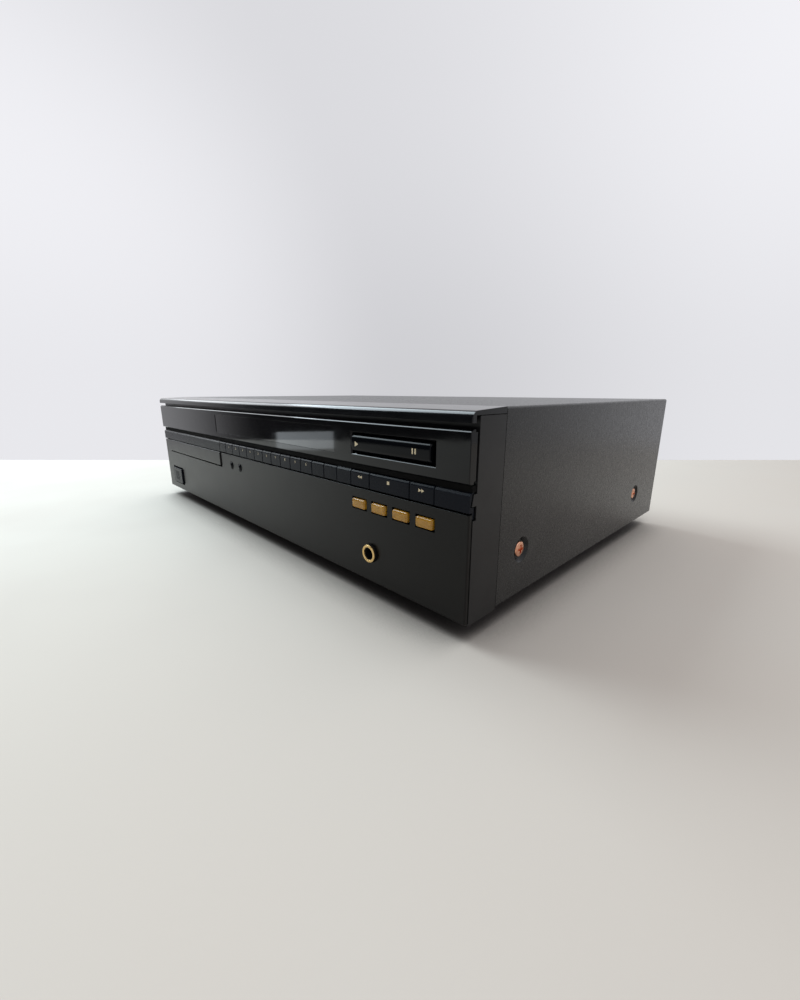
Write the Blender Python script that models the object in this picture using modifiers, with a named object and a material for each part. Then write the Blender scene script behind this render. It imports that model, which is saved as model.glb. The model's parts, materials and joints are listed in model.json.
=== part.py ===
"""Full-width hi-fi CD player with a front-loading disc tray, as separate pieces.

World frame: metres, +Z up, the front faces -Y. The origin is on the floor, under the middle
of the player's box. The pieces are laid out in panel measures: x across, depth behind the
lower panel's front face, and height above that panel's lower edge.
"""
import math

import bmesh
import bpy
from mathutils import Matrix, Vector

MM = 0.001

# Whole player
WIDTH = 420 * MM
DEPTH = 268.8 * MM
FOOT_HEIGHT = 10 * MM
SEAT = 0.3 * MM
SINK = 0.4 * MM
OVERRUN = 2 * MM
MERGE = 0.001 * MM
END_GAP = 0.35 * MM
ROUND_SIDES = 20
SCREW_SIDES = 16
FINE_SIDES = 24

# Sheet-steel cover
SHEET = 1.0 * MM
COVER_START = 24.5 * MM
COVER_LIFT = 0.85 * MM
COVER_BEND = 1.5 * MM
DIMPLE_RADIUS = 6.9 * MM
DIMPLE_FLOOR_RADIUS = 4.7 * MM
DIMPLE_DEPTH = 1.9 * MM
SCREW_HOLE_RADIUS = 2.1 * MM
SCREW_HEIGHT = 25 * MM
SCREW_FRONT_DEPTH = 46 * MM
SCREW_BACK_INSET = 49.8 * MM
SCREW_HEAD_RADIUS = 4.1 * MM
SCREW_HEAD_HEIGHT = 1.5 * MM
SCREW_SHANK_RADIUS = 1.7 * MM
SCREW_LENGTH = 9 * MM
SCREW_SLOT = 1.1 * MM
SCREW_SLOT_DEPTH = 0.8 * MM
SCREW_SLOT_LENGTH = 4.6 * MM

# Lower panel
PANEL_HEIGHT = 52.8 * MM
PANEL_THICK = 2.0 * MM
PANEL_BEVEL = 0.6 * MM

# Key row, in the stack above the lower panel
KEY_SEAM = 0.6 * MM
KEY_HEIGHT = 8.7 * MM
KEY_PITCH = 13.15 * MM
KEY_ROW_INSET = 20.2 * MM
KEY_LINE = 0.5 * MM
KEY_THICK = 3.0 * MM
KEY_CHAMFER_DEPTH = 0.9 * MM
KEY_CHAMFER_HEIGHT = 1.1 * MM
KEY_TRAVEL = 0.8 * MM
STEM_WIDTH = 3.6 * MM
STEM_HEIGHT = 3.4 * MM
STEM_END = 7.6 * MM
SEARCH_KEY_WIDTH = 15.9 * MM
STOP_KEY_WIDTH = 29.7 * MM
STRIP_SEAM = 0.4 * MM
STRIP_RAIL_HEIGHT = 2.8 * MM
STRIP_RAIL_START = 1.5 * MM
STRIP_BACK = 4.3 * MM
STRIP_HOOK_START = 2.4 * MM
STRIP_HOOK_GAP = 0.5 * MM

# Upper fascia, with its window and the play/pause opening
FASCIA_SEAM = 3.8 * MM
FASCIA_HEIGHT = 22.95 * MM
FASCIA_PROUD = 0.77 * MM
FASCIA_THICK = 3.0 * MM
FASCIA_RETURN = 4.3 * MM
FASCIA_RETURN_WALL = 2.2 * MM
FASCIA_BEVEL = 1.1 * MM
WINDOW_INSET_RIGHT = 95.3 * MM
WINDOW_WIDTH = 172.3 * MM
WINDOW_RISE = 3.9 * MM
WINDOW_HEIGHT = 15.2 * MM
WINDOW_INSET = 0.3 * MM
WINDOW_THICK = 2.0 * MM
PLAY_INSET_RIGHT = 19.7 * MM
PLAY_WIDTH = 61 * MM
PLAY_RISE = 5 * MM
PLAY_HEIGHT = 12.2 * MM
PLAY_SIDE_GAP = 2.0 * MM
PLAY_END_GAP = 1.1 * MM
PLAY_PROUD = 1.5 * MM
PLAY_THICK = 3.5 * MM
PLAY_BEVEL = 1.4 * MM
PLAY_BEAD_RADIUS = 1.3 * MM
PLUNGER_REACH = 22 * MM
PLUNGER_SIZE = 3.4 * MM

# Top trim strip
TRIM_SEAM = 2.55 * MM
TRIM_LIP_HEIGHT = 5 * MM
TRIM_RISE = 1.1 * MM
TRIM_SKIRT = 3 * MM
TRIM_LIP_THICK = 2.6 * MM
TRIM_ROUND = 2.6 * MM
TRIM_ROUND_POINTS = 5
TRIM_CORNER = 1.5 * MM

# Moulded front frame
FRAME_WALL = 2.0 * MM
FRAME_WALL_START = 4.6 * MM
FRAME_LOW_START = 2.3 * MM
FRAME_BOTTOM = -0.85 * MM
CHEEK_THICK = 2.3 * MM
CHEEK_NOTCH_DROP = 3.7 * MM
CHEEK_NOTCH_HEIGHT = 6.5 * MM
CHEEK_NOTCH_DEPTH = 4.5 * MM
CHEEK_TAB_HEIGHT = 5.4 * MM
CHEEK_TAB_LOW_DEPTH = 1.2 * MM
CHEEK_TAB_HIGH_DEPTH = 2.4 * MM
REBATE_DEPTH = 10 * MM
REBATE_THICK = 2.2 * MM
REBATE_LOW = 6 * MM
REBATE_DROP = 4.2 * MM
PANEL_RIB = 3 * MM
SLEEVE_WALL = 2.0 * MM
SLEEVE_LENGTH = 10 * MM
BOSS_SIZE = 5 * MM

# Amber keys, round buttons and power button
AMBER_COUNT = 4
AMBER_INSET_RIGHT = 25.59 * MM
AMBER_PITCH = 16.27 * MM
AMBER_DROP = 9.05 * MM
AMBER_HOLE_WIDTH = 11.9 * MM
AMBER_HOLE_HEIGHT = 6.3 * MM
AMBER_GAP = 0.5 * MM
AMBER_PROUD = 1.3 * MM
AMBER_BEVEL = 0.5 * MM
ROUND_OFFSET = 20.9 * MM
ROUND_PITCH = 15.8 * MM
ROUND_DROP = 8.8 * MM
ROUND_RADIUS = 3.0 * MM
ROUND_GAP = 0.4 * MM
ROUND_PROUD = 1.2 * MM
ROUND_STEM_RADIUS = 1.5 * MM
POWER_INSET_LEFT = 17.2 * MM
POWER_WIDTH = 29.6 * MM
POWER_LOW = 6.2 * MM
POWER_HEIGHT = 18.2 * MM
POWER_GAP = 1.2 * MM
POWER_PROUD = 1.5 * MM
POWER_BEVEL = 0.7 * MM
POWER_STEM = 8 * MM
POWER_STEM_END = 15 * MM

# Headphone jack
JACK_INSET_RIGHT = 65.4 * MM
JACK_MIDDLE = 17.2 * MM
JACK_PROUD = 2.2 * MM
JACK_RADIUS = 5.05 * MM
JACK_BORE_RADIUS = 3.3 * MM
JACK_BORE_END = 22 * MM
JACK_BODY_SIZE = 14 * MM
JACK_BODY_LENGTH = 18 * MM

# Display tube and key board
TUBE_RIM = 1.8 * MM
TUBE_THICK = 5 * MM
SWITCH_FRONT = 8.7 * MM
SWITCH_SIZE = 5 * MM
BOARD_START = 9.9 * MM
BOARD_THICK = 1.6 * MM
BOARD_MARGIN_LEFT = 4.2 * MM
BOARD_MARGIN_ROUND = 4.5 * MM
BOARD_MARGIN_RIGHT = 7 * MM
BOARD_MARGIN_LOW = 6 * MM
BOARD_LOADER_GAP = 0.5 * MM
BOARD_TUBE_GAP = 1.4 * MM
BOARD_MARGIN_PLAY = 5.3 * MM
BOARD_RISE_PLAY = 0.9 * MM

# Disc tray and its front
DISC_WELL_RADIUS = 61 * MM
TRAY_MARGIN = 4.5 * MM
TRAY_INSET_LEFT = 16.4 * MM
TRAY_LEFT_ROOM = 3.6 * MM
TRAY_RIGHT_ROOM = 4.6 * MM
TRAY_FRONT_GAP = 0.9 * MM
TRAY_FRONT_PROUD = 0.9 * MM
TRAY_FRONT_BACK = 2.5 * MM
TRAY_SLOT_HEIGHT = 12.6 * MM
TRAY_SLOT_ROOM = 1.8 * MM
TRAY_THICK = 9 * MM
TRAY_NOSE = 17 * MM
TRAY_TAIL = 54 * MM
DISC_WELL_DEPTH = 5.8 * MM
SMALL_WELL_RADIUS = 41 * MM
SMALL_WELL_DROP = 1.2 * MM
WELL_SIDES = 48

# Rack and drive gear
MODULE = 1.5 * MM
PINION_TEETH = 16
PRESSURE_ANGLE = math.radians(20)
BACKLASH = 0.5 * MM
ADDENDUM_SHARE = 1.0
DEDENDUM_SHARE = 1.25
RACK_RISE = 2.5 * MM
RACK_THICK = 4.5 * MM
RACK_ROOT_WIDTH = 1.5 * MM
PINION_DEPTH = 32 * MM
PINION_OVER = 0.6 * MM
PULLEY_RADIUS = 15 * MM
PULLEY_DROP = 1.8 * MM
PULLEY_THICK = 4 * MM
GROOVE = 1.2 * MM
HUB_RADIUS = 5 * MM
PIN_RADIUS = 1.6 * MM
PIN_GAP = 0.2 * MM
MOTOR_SPACING = 30.125 * MM
MOTOR_RADIUS = 11 * MM
MOTOR_HEIGHT = 18 * MM
MOTOR_PULLEY_RADIUS = 3.75 * MM
MOTOR_SHAFT_RADIUS = 1.0 * MM
MOTOR_BEARING_DEPTH = 3 * MM
BELT_SIZE = 1.0 * MM
BELT_ARC_POINTS = 12

# Loader frame
LOADER_WALL = 3 * MM
LOADER_START = 8 * MM
LOADER_TAIL = 4 * MM
DECK_ROOM = 13 * MM
RING_THICK = 3 * MM
RING_WIDTH = 13 * MM
RING_START = 18 * MM
RING_LAP = 4 * MM
RAIL_THICK = 2.2 * MM
RAIL_REACH = 5 * MM
RACK_SIDE_GAP = 0.4 * MM
LEG_SIZE = 8 * MM
BRACKET_GAP = 1.2 * MM
BRACKET_THICK = 2 * MM
BRACKET_SIDE = 13 * MM
BRACKET_HALF = 18 * MM
GEAR_WINDOW_MARGIN = 1 * MM
CLAMP_REACH = 82 * MM
CLAMP_ROD_RADIUS = 2.0 * MM
CLAMP_POST_SIZE = 12 * MM

# Rising deck with the spindle motor and pickup arm
DECK_THICK = 2.7 * MM
DECK_SIDE_ROOM = 3.5 * MM
DECK_FORE = 46 * MM
DECK_AFT = 78 * MM
TABLE_RADIUS = 16 * MM
SPINDLE_MOTOR_MARGIN = 1 * MM
SPINDLE_MOTOR_DROP = 4 * MM
PICKUP_SLOT_MARGIN = 2 * MM
TABLE_DROP = 1.4 * MM
TABLE_HUB_RADIUS = 7.3 * MM
TABLE_HUB_RISE = 1.1 * MM
TABLE_SHAFT_RADIUS = 1.5 * MM
TABLE_SHAFT_RISE = 1.5 * MM
ARM_PIVOT_SIDE = 50 * MM
ARM_PIVOT_BACK = 30 * MM
ARM_REACH = 58 * MM
ARM_START_ANGLE = math.radians(-7.6)
ARM_THICK = 4 * MM
ARM_HALF_WIDTH = 4 * MM
ARM_BOSS_RADIUS = 7 * MM
ARM_PIN_RADIUS = 2.0 * MM
LENS_HOUSING_RADIUS = 5.2 * MM
LENS_DROP = 3 * MM
LENS_RADIUS = 2.6 * MM
LENS_PROUD = 0.6 * MM

# Disc clamp
CLAMP_RISE = 4 * MM
CLAMP_THICK = 2 * MM
CLAMP_HALF_WIDTH = 17 * MM
CLAMP_WIDE_HALF = 55 * MM
CLAMP_WIDE_LENGTH = 18 * MM
CLAMP_HOLE_RADIUS = 11.5 * MM
PUCK_RADIUS = 15 * MM
PUCK_NECK_RADIUS = 10.5 * MM
PUCK_FLANGE = 2.0 * MM
PUCK_RISE = 1.2 * MM
PUCK_DISH_RADIUS = 9 * MM

# Base pan, rear panel and feet
BASE_LOW = 1.45 * MM
BASE_SHEET = 1.2 * MM
BASE_START = 7 * MM
BASE_FLANGE_HIGH = 40 * MM
REAR_INSET = 1.8 * MM
REAR_SHEET = 1.4 * MM
REAR_DROP = 2.5 * MM
STANDOFF_SIZE = 6 * MM
VENT_COUNT = 9
VENT_INSET_LEFT = 60 * MM
VENT_PITCH = 9 * MM
VENT_WIDTH = 3 * MM
VENT_LOW = 45 * MM
VENT_HEIGHT = 30 * MM
FOOT_RADIUS = 18 * MM
FOOT_BASE_RADIUS = 15.5 * MM
FOOT_CHAMFER = 1.5 * MM
FOOT_SIDE_INSET = 50 * MM
FOOT_FRONT_DEPTH = 48 * MM
FOOT_BACK_INSET = 36.8 * MM

# Main board and transformer
MAIN_SIDE_GAP = 25 * MM
MAIN_INSET_RIGHT = 92 * MM
MAIN_FRONT_GAP = 12 * MM
MAIN_BACK_INSET = 22.8 * MM
MAIN_RISE = 7.35 * MM
MAIN_INSET = 8 * MM
CHIP_HEIGHT = 3 * MM
CHIP_SIZES = (26 * MM, 18 * MM, 34 * MM)
CHIP_LENGTH = 18 * MM
CAP_RADIUS = 6 * MM
CAP_HEIGHT = 22 * MM
CAP_PITCH = 18 * MM
CAP_COUNT = 4
HEATSINK_THICK = 3 * MM
HEATSINK_LENGTH = 46 * MM
HEATSINK_HEIGHT = 30 * MM
TRANSFORMER_INSET_RIGHT = 50 * MM
TRANSFORMER_INSET_BACK = 103.8 * MM
TRANSFORMER_WIDTH = 56 * MM
TRANSFORMER_LENGTH = 30 * MM
TRANSFORMER_HEIGHT = 47 * MM
TRANSFORMER_FLANGE = 10 * MM
TRANSFORMER_FLANGE_THICK = 2 * MM
BOBBIN_GROWTH = 11 * MM
BOBBIN_INSET = 9 * MM

# Rear sockets and mains inlet
SOCKET_REACH = 6.5 * MM
SOCKET_INSET_RIGHT = 140 * MM
SOCKET_PITCH = 16 * MM
SOCKET_HEIGHT = 30 * MM
SOCKET_RADIUS = 4.2 * MM
SOCKET_PIN_RADIUS = 1.7 * MM
SOCKET_BLOCK_MARGIN = 8 * MM
SOCKET_BLOCK_LENGTH = 12 * MM
INLET_INSET_RIGHT = 45 * MM
INLET_HEIGHT = 30 * MM
INLET_BODY_WIDTH = 23 * MM
INLET_BODY_HEIGHT = 13 * MM
INLET_WALL = 3.3 * MM
INLET_SIDE_WALL = 2.3 * MM
INLET_LENGTH = 17 * MM
INLET_FLANGE = 3 * MM
INLET_RECESS = 13 * MM
INLET_PIN_RADIUS = 1.2 * MM
INLET_PIN_PLACE = 4.3 * MM
INLET_PIN_LENGTH = 10 * MM

# Heights of the front's stack that follow from the sizes above
KEY_LOW = PANEL_HEIGHT + KEY_SEAM
KEY_HIGH = KEY_LOW + KEY_HEIGHT
KEY_MIDDLE = KEY_LOW + KEY_HEIGHT / 2
STRIP_RAIL_LOW = KEY_HIGH + STRIP_SEAM
STRIP_RAIL_HIGH = STRIP_RAIL_LOW + STRIP_RAIL_HEIGHT
FASCIA_LOW = KEY_HIGH + FASCIA_SEAM
FASCIA_HIGH = FASCIA_LOW + FASCIA_HEIGHT
WINDOW_LOW = FASCIA_LOW + WINDOW_RISE
WINDOW_HIGH = WINDOW_LOW + WINDOW_HEIGHT
PLAY_LOW = FASCIA_LOW + PLAY_RISE
PLAY_HIGH = PLAY_LOW + PLAY_HEIGHT
PLAY_MIDDLE = PLAY_LOW + PLAY_HEIGHT / 2
TRIM_LIP_LOW = FASCIA_HIGH + TRIM_SEAM
TRIM_FRONT_HIGH = TRIM_LIP_LOW + TRIM_LIP_HEIGHT
BODY_HEIGHT = TRIM_FRONT_HIGH + TRIM_RISE
TRIM_SKIRT_LOW = BODY_HEIGHT - TRIM_SKIRT
FRAME_TOP = TRIM_SKIRT_LOW - SEAT
REBATE_HIGH = FRAME_TOP - REBATE_DROP
CHEEK_NOTCH_LOW = KEY_LOW - CHEEK_NOTCH_DROP
CHEEK_NOTCH_HIGH = CHEEK_NOTCH_LOW + CHEEK_NOTCH_HEIGHT
CHEEK_TAB_HIGH = CHEEK_NOTCH_HIGH + CHEEK_TAB_HEIGHT
STRIP_HOOK_LOW = CHEEK_NOTCH_LOW + STRIP_HOOK_GAP
AMBER_MIDDLE = PANEL_HEIGHT - AMBER_DROP
ROUND_MIDDLE = PANEL_HEIGHT - ROUND_DROP
POWER_HIGH = POWER_LOW + POWER_HEIGHT
POWER_MIDDLE = POWER_LOW + POWER_HEIGHT / 2
TRAY_SLOT_LOW = PANEL_HEIGHT - TRAY_SLOT_HEIGHT
TRAY_LOW = TRAY_SLOT_LOW + TRAY_SLOT_ROOM
TRAY_HIGH = TRAY_LOW + TRAY_THICK
LOADER_HIGH = TRAY_HIGH + SEAT + RAIL_THICK
BOARD_LOW = ROUND_MIDDLE - BOARD_MARGIN_LOW
BOARD_MIDDLE = LOADER_HIGH + BOARD_LOADER_GAP
BOARD_HIGH = WINDOW_LOW - TUBE_RIM / 2 - BOARD_TUBE_GAP
BOARD_TALL_HIGH = PLAY_HIGH + BOARD_RISE_PLAY

# Heights of the mechanism, all hung from the tray
DISC_WELL_FLOOR = TRAY_HIGH - DISC_WELL_DEPTH
SMALL_WELL_FLOOR = DISC_WELL_FLOOR - SMALL_WELL_DROP
RACK_LOW = TRAY_LOW + RACK_RISE
RACK_HIGH = RACK_LOW + RACK_THICK
PINION_LOW = RACK_LOW - PINION_OVER
PINION_HIGH = RACK_HIGH + PINION_OVER
PULLEY_HIGH = TRAY_LOW - PULLEY_DROP
PULLEY_LOW = PULLEY_HIGH - PULLEY_THICK
BRACKET_TOP = PULLEY_LOW - BRACKET_GAP
BRACKET_LOW = BRACKET_TOP - BRACKET_THICK
RING_HIGH = TRAY_LOW - DECK_ROOM
RING_LOW = RING_HIGH - RING_THICK
DECK_LOW = RING_HIGH + SEAT
DECK_TOP = DECK_LOW + DECK_THICK
SPINDLE_MOTOR_HIGH = TRAY_LOW - SPINDLE_MOTOR_DROP
TABLE_TOP = TRAY_LOW - TABLE_DROP
TABLE_HUB_HIGH = TABLE_TOP + TABLE_HUB_RISE
TABLE_SHAFT_LOW = DECK_TOP + TABLE_SHAFT_RISE
LENS_HIGH = TRAY_LOW - LENS_DROP
CLAMP_LOW = TRAY_HIGH + CLAMP_RISE
CLAMP_HINGE_HEIGHT = CLAMP_LOW + CLAMP_THICK
PUCK_BOTTOM = TRAY_HIGH + PUCK_RISE

# Places across the player
HALF = WIDTH / 2
CHEEK_INNER = HALF - CHEEK_THICK
BASE_HALF = HALF - DIMPLE_DEPTH - SHEET - SEAT
KEY_ROW_END = HALF - KEY_ROW_INSET
WINDOW_RIGHT = HALF - WINDOW_INSET_RIGHT
WINDOW_LEFT = WINDOW_RIGHT - WINDOW_WIDTH
PLAY_RIGHT = HALF - PLAY_INSET_RIGHT
PLAY_LEFT = PLAY_RIGHT - PLAY_WIDTH
PLAY_X = PLAY_RIGHT - PLAY_WIDTH / 2
JACK_X = HALF - JACK_INSET_RIGHT
POWER_LEFT = POWER_INSET_LEFT - HALF
POWER_RIGHT = POWER_LEFT + POWER_WIDTH
POWER_X = POWER_LEFT + POWER_WIDTH / 2
TRAY_WIDTH = 2 * (DISC_WELL_RADIUS + TRAY_MARGIN)
TRAY_FRONT_LEFT = TRAY_INSET_LEFT - HALF
TRAY_LEFT = TRAY_FRONT_LEFT + TRAY_LEFT_ROOM
TRAY_RIGHT = TRAY_LEFT + TRAY_WIDTH
TRAY_FRONT_RIGHT = TRAY_RIGHT + TRAY_RIGHT_ROOM
DISC_X = (TRAY_LEFT + TRAY_RIGHT) / 2
ROUND_PLACES = (TRAY_FRONT_RIGHT + ROUND_OFFSET, TRAY_FRONT_RIGHT + ROUND_OFFSET + ROUND_PITCH)
PITCH_RADIUS = MODULE * PINION_TEETH / 2
TOOTH_PITCH = math.pi * MODULE
RACK_PITCH_X = TRAY_RIGHT + MODULE * DEDENDUM_SHARE
PINION_X = RACK_PITCH_X + PITCH_RADIUS
MOTOR_X = PINION_X + MOTOR_SPACING
LOADER_LEFT = TRAY_LEFT - SEAT - PIN_GAP
LOADER_RIGHT = RACK_PITCH_X + MODULE * ADDENDUM_SHARE + RACK_SIDE_GAP
BRACKET_RIGHT = MOTOR_X + BRACKET_SIDE
ARM_PIVOT_X = DISC_X - ARM_PIVOT_SIDE
DECK_SIDE = TRAY_WIDTH / 2 - DECK_SIDE_ROOM
SPINDLE_MOTOR_RADIUS = TABLE_RADIUS + SPINDLE_MOTOR_MARGIN
PICKUP_SLOT_RADIUS = TABLE_RADIUS + PICKUP_SLOT_MARGIN
BOARD_LOWER_LEFT = ROUND_PLACES[0] - BOARD_MARGIN_ROUND
BOARD_RIGHT = HALF - BOARD_MARGIN_RIGHT
BOARD_TALL_LEFT = PLAY_LEFT - BOARD_MARGIN_PLAY
MAIN_LEFT = LOADER_RIGHT + MAIN_SIDE_GAP
MAIN_RIGHT = HALF - MAIN_INSET_RIGHT
TRANSFORMER_X = HALF - TRANSFORMER_INSET_RIGHT
SOCKET_PLACES = (HALF - SOCKET_INSET_RIGHT - SOCKET_PITCH, HALF - SOCKET_INSET_RIGHT)
INLET_X = HALF - INLET_INSET_RIGHT
VENT_FIRST = VENT_INSET_LEFT - HALF
FOOT_X = HALF - FOOT_SIDE_INSET

# Places from front to back
FRONT = -(DEPTH + SOCKET_REACH - JACK_PROUD) / 2
FRAME_BACK = FRAME_WALL_START + FRAME_WALL
REAR_FACE = DEPTH - REAR_INSET
REAR_INNER = REAR_FACE - REAR_SHEET
REAR_HIGH = BODY_HEIGHT - REAR_DROP
SCREW_DEPTHS = (SCREW_FRONT_DEPTH, DEPTH - SCREW_BACK_INSET)
FOOT_DEPTHS = (FOOT_FRONT_DEPTH, DEPTH - FOOT_BACK_INSET)
DISC_DEPTH = TRAY_NOSE + DISC_WELL_RADIUS
TRAY_END = DISC_DEPTH + DISC_WELL_RADIUS + TRAY_TAIL
LOADER_END = TRAY_END + LOADER_TAIL
DECK_FRONT = DISC_DEPTH - DECK_FORE
DECK_BACK = DISC_DEPTH + DECK_AFT
ARM_PIVOT_DEPTH = DISC_DEPTH + ARM_PIVOT_BACK
CLAMP_HINGE_DEPTH = DISC_DEPTH + CLAMP_REACH
CLAMP_WIDE_START = CLAMP_HINGE_DEPTH - CLAMP_WIDE_LENGTH
BASE_HIGH = BASE_LOW + BASE_SHEET
MAIN_LOW = BASE_HIGH + MAIN_RISE
MAIN_FRONT = PINION_DEPTH + BRACKET_HALF + MAIN_FRONT_GAP
MAIN_BACK = DEPTH - MAIN_BACK_INSET
TRANSFORMER_DEPTH = DEPTH - TRANSFORMER_INSET_BACK

# Name, colour, roughness, metallic
FINISHES = {
    "textured_paint": ((0.012, 0.012, 0.013), 0.55, 0.0),
    "frame_plastic": ((0.014, 0.014, 0.015), 0.40, 0.0),
    "gloss_plastic": ((0.006, 0.006, 0.007), 0.08, 0.0),
    "panel_plastic": ((0.022, 0.021, 0.019), 0.45, 0.0),
    "key_plastic": ((0.014, 0.017, 0.024), 0.35, 0.0),
    "amber_plastic": ((0.62, 0.34, 0.05), 0.25, 0.0),
    "smoked_window": ((0.004, 0.004, 0.005), 0.06, 0.0),
    "gold_metal": ((0.90, 0.66, 0.30), 0.25, 1.0),
    "copper_metal": ((0.80, 0.42, 0.28), 0.30, 1.0),
    "zinc_steel": ((0.55, 0.55, 0.54), 0.40, 1.0),
    "core_steel": ((0.20, 0.19, 0.18), 0.50, 0.8),
    "board_laminate": ((0.25, 0.17, 0.07), 0.60, 0.0),
    "loader_plastic": ((0.05, 0.05, 0.05), 0.50, 0.0),
    "gear_plastic": ((0.75, 0.74, 0.70), 0.45, 0.0),
    "deck_metal": ((0.45, 0.46, 0.47), 0.45, 0.9),
    "foot_rubber": ((0.02, 0.02, 0.02), 0.80, 0.0),
    "belt_rubber": ((0.015, 0.015, 0.015), 0.70, 0.0),
    "tube_glass": ((0.10, 0.13, 0.14), 0.10, 0.0),
}


def back(depth):
    """World y of a depth behind the lower panel's front face."""
    return FRONT + depth


def up(height):
    """World z of a height above the lower panel's lower edge."""
    return FOOT_HEIGHT + height


def new_collection(name):
    collection = bpy.data.collections.new(name)
    bpy.context.scene.collection.children.link(collection)
    return collection


def new_object(name, shape):
    """An object in the parts collection, made from a bmesh."""
    bmesh.ops.recalc_face_normals(shape, faces=shape.faces)
    mesh = bpy.data.meshes.new(name)
    shape.to_mesh(mesh)
    shape.free()
    piece = bpy.data.objects.new(name, mesh)
    PARTS.objects.link(piece)
    return piece


def blocks(name, spans):
    """Boxes in one mesh; a span is (x range, depth range, height range)."""
    shape = bmesh.new()
    for across, depth, height in spans:
        low = Vector((across[0], back(depth[0]), up(height[0])))
        high = Vector((across[1], back(depth[1]), up(height[1])))
        size = Matrix.Diagonal(high - low).to_4x4()
        bmesh.ops.create_cube(shape, size=1, matrix=Matrix.Translation((low + high) / 2) @ size)
    return new_object(name, shape)


def along(axis, place, start):
    """The matrix that stands a local +Z shape on an axis at a place across it."""
    if axis in ("X", "-X"):
        side = -1 if axis == "-X" else 1
        turn = Matrix.Rotation(side * math.pi / 2, 4, "Y")
        return Matrix.Translation((side * start, back(place[0]), up(place[1]))) @ turn
    if axis == "Y":
        turn = Matrix.Rotation(-math.pi / 2, 4, "X")
        return Matrix.Translation((place[0], back(start), up(place[1]))) @ turn
    return Matrix.Translation((place[0], back(place[1]), up(start)))


def rods(name, axis, places, span, radius, end_radius=None, sides=ROUND_SIDES):
    """Cylinders or cones along an axis in one mesh, each at a place across that axis."""
    shape = bmesh.new()
    low, high = sorted(span)
    first, last = radius, radius if end_radius is None else end_radius
    if span[0] > span[1]:
        first, last = last, first
    for place in places:
        middle = along(axis, place, (low + high) / 2)
        bmesh.ops.create_cone(shape, cap_ends=True, segments=sides, radius1=first, radius2=last,
                              depth=high - low, matrix=middle)
    return new_object(name, shape)


def turned(name, axis, place, profile, sides=ROUND_SIDES):
    """A turned piece: profile points are (radius, distance along the axis), outer side down."""
    mesh = bpy.data.meshes.new(name)
    count = len(profile)
    closed = profile[0][0] > 0
    edges = [(i, i + 1) for i in range(count - 1)]
    if closed:
        edges.append((count - 1, 0))
    mesh.from_pydata([(radius, 0, distance) for radius, distance in profile], edges, [])
    piece = bpy.data.objects.new(name, mesh)
    PARTS.objects.link(piece)
    piece.matrix_world = along(axis, place, 0)
    screw = piece.modifiers.new("turn", "SCREW")
    screw.steps = sides
    screw.render_steps = sides
    screw.use_merge_vertices = True
    screw.merge_threshold = MERGE
    return piece


def plate(name, outlines, axis, span):
    """A flat outline extruded along an axis; further outlines are holes in it."""
    curve = bpy.data.curves.new(name, "CURVE")
    curve.dimensions = "2D"
    curve.fill_mode = "BOTH"
    curve.extrude = (span[1] - span[0]) / 2
    for outline in outlines:
        spline = curve.splines.new("POLY")
        spline.points.add(len(outline) - 1)
        spline.use_cyclic_u = True
        for point, (first, second) in zip(spline.points, outline):
            point.co = (first, second, 0, 1)
    guide = bpy.data.objects.new(name + "_outline", curve)
    PARTS.objects.link(guide)
    seen = guide.evaluated_get(bpy.context.evaluated_depsgraph_get())
    shape = bmesh.new()
    shape.from_mesh(bpy.data.meshes.new_from_object(seen))
    bpy.data.objects.remove(guide, do_unlink=True)
    bmesh.ops.remove_doubles(shape, verts=shape.verts, dist=MERGE)
    turns = {
        "X": Matrix(((0, 0, 1), (1, 0, 0), (0, 1, 0))),
        "Y": Matrix(((1, 0, 0), (0, 0, -1), (0, 1, 0))),
        "Z": Matrix.Identity(3),
    }
    middle = (span[0] + span[1]) / 2
    places = {
        "X": Vector((middle, back(0), up(0))),
        "Y": Vector((0, back(middle), up(0))),
        "Z": Vector((0, back(0), up(middle))),
    }
    shape.transform(Matrix.Translation(places[axis]) @ turns[axis].to_4x4())
    return new_object(name, shape)


def use_tool(piece, tool, operation):
    modifier = piece.modifiers.new(tool.name, "BOOLEAN")
    modifier.object = tool
    modifier.operation = operation
    tool.hide_render = True
    tool.display_type = "WIRE"
    PARTS.objects.unlink(tool)
    TOOLS.objects.link(tool)


def weld(piece, *tools):
    """Join other shapes to a piece."""
    for tool in tools:
        use_tool(piece, tool, "UNION")


def carve(piece, *tools):
    """Cut other shapes out of a piece."""
    for tool in tools:
        use_tool(piece, tool, "DIFFERENCE")


def soften(piece, width, segments=1):
    """Bevel a piece's sharp edges."""
    bevel = piece.modifiers.new("soften", "BEVEL")
    bevel.width = width
    bevel.segments = segments
    bevel.limit_method = "ANGLE"
    return bevel


def pivot(piece, across, depth, height):
    """Move a piece's origin onto its joint's axis; the shape stays where it is."""
    place = Vector((across, back(depth), up(height)))
    piece.data.transform(Matrix.Translation(-place) @ piece.matrix_world)
    piece.matrix_world = Matrix.Translation(place)


def finish(piece, slot):
    """Give a piece its material, and smooth shading on its round faces."""
    material = bpy.data.materials.get(slot)
    if material is None:
        colour, roughness, metallic = FINISHES[slot]
        material = bpy.data.materials.new(slot)
        material.use_nodes = True
        shader = material.node_tree.nodes["Principled BSDF"]
        shader.inputs["Base Color"].default_value = (*colour, 1)
        shader.inputs["Roughness"].default_value = roughness
        shader.inputs["Metallic"].default_value = metallic
        material.diffuse_color = (*colour, 1)
    piece.data.materials.clear()
    piece.data.materials.append(material)


def arc(centre, radius, start, end, points):
    """Points on an arc, from one angle to another, both ends included."""
    step = (end - start) / (points - 1)
    angles = [start + i * step for i in range(points)]
    return [(centre[0] + radius * math.cos(a), centre[1] + radius * math.sin(a)) for a in angles]


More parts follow.
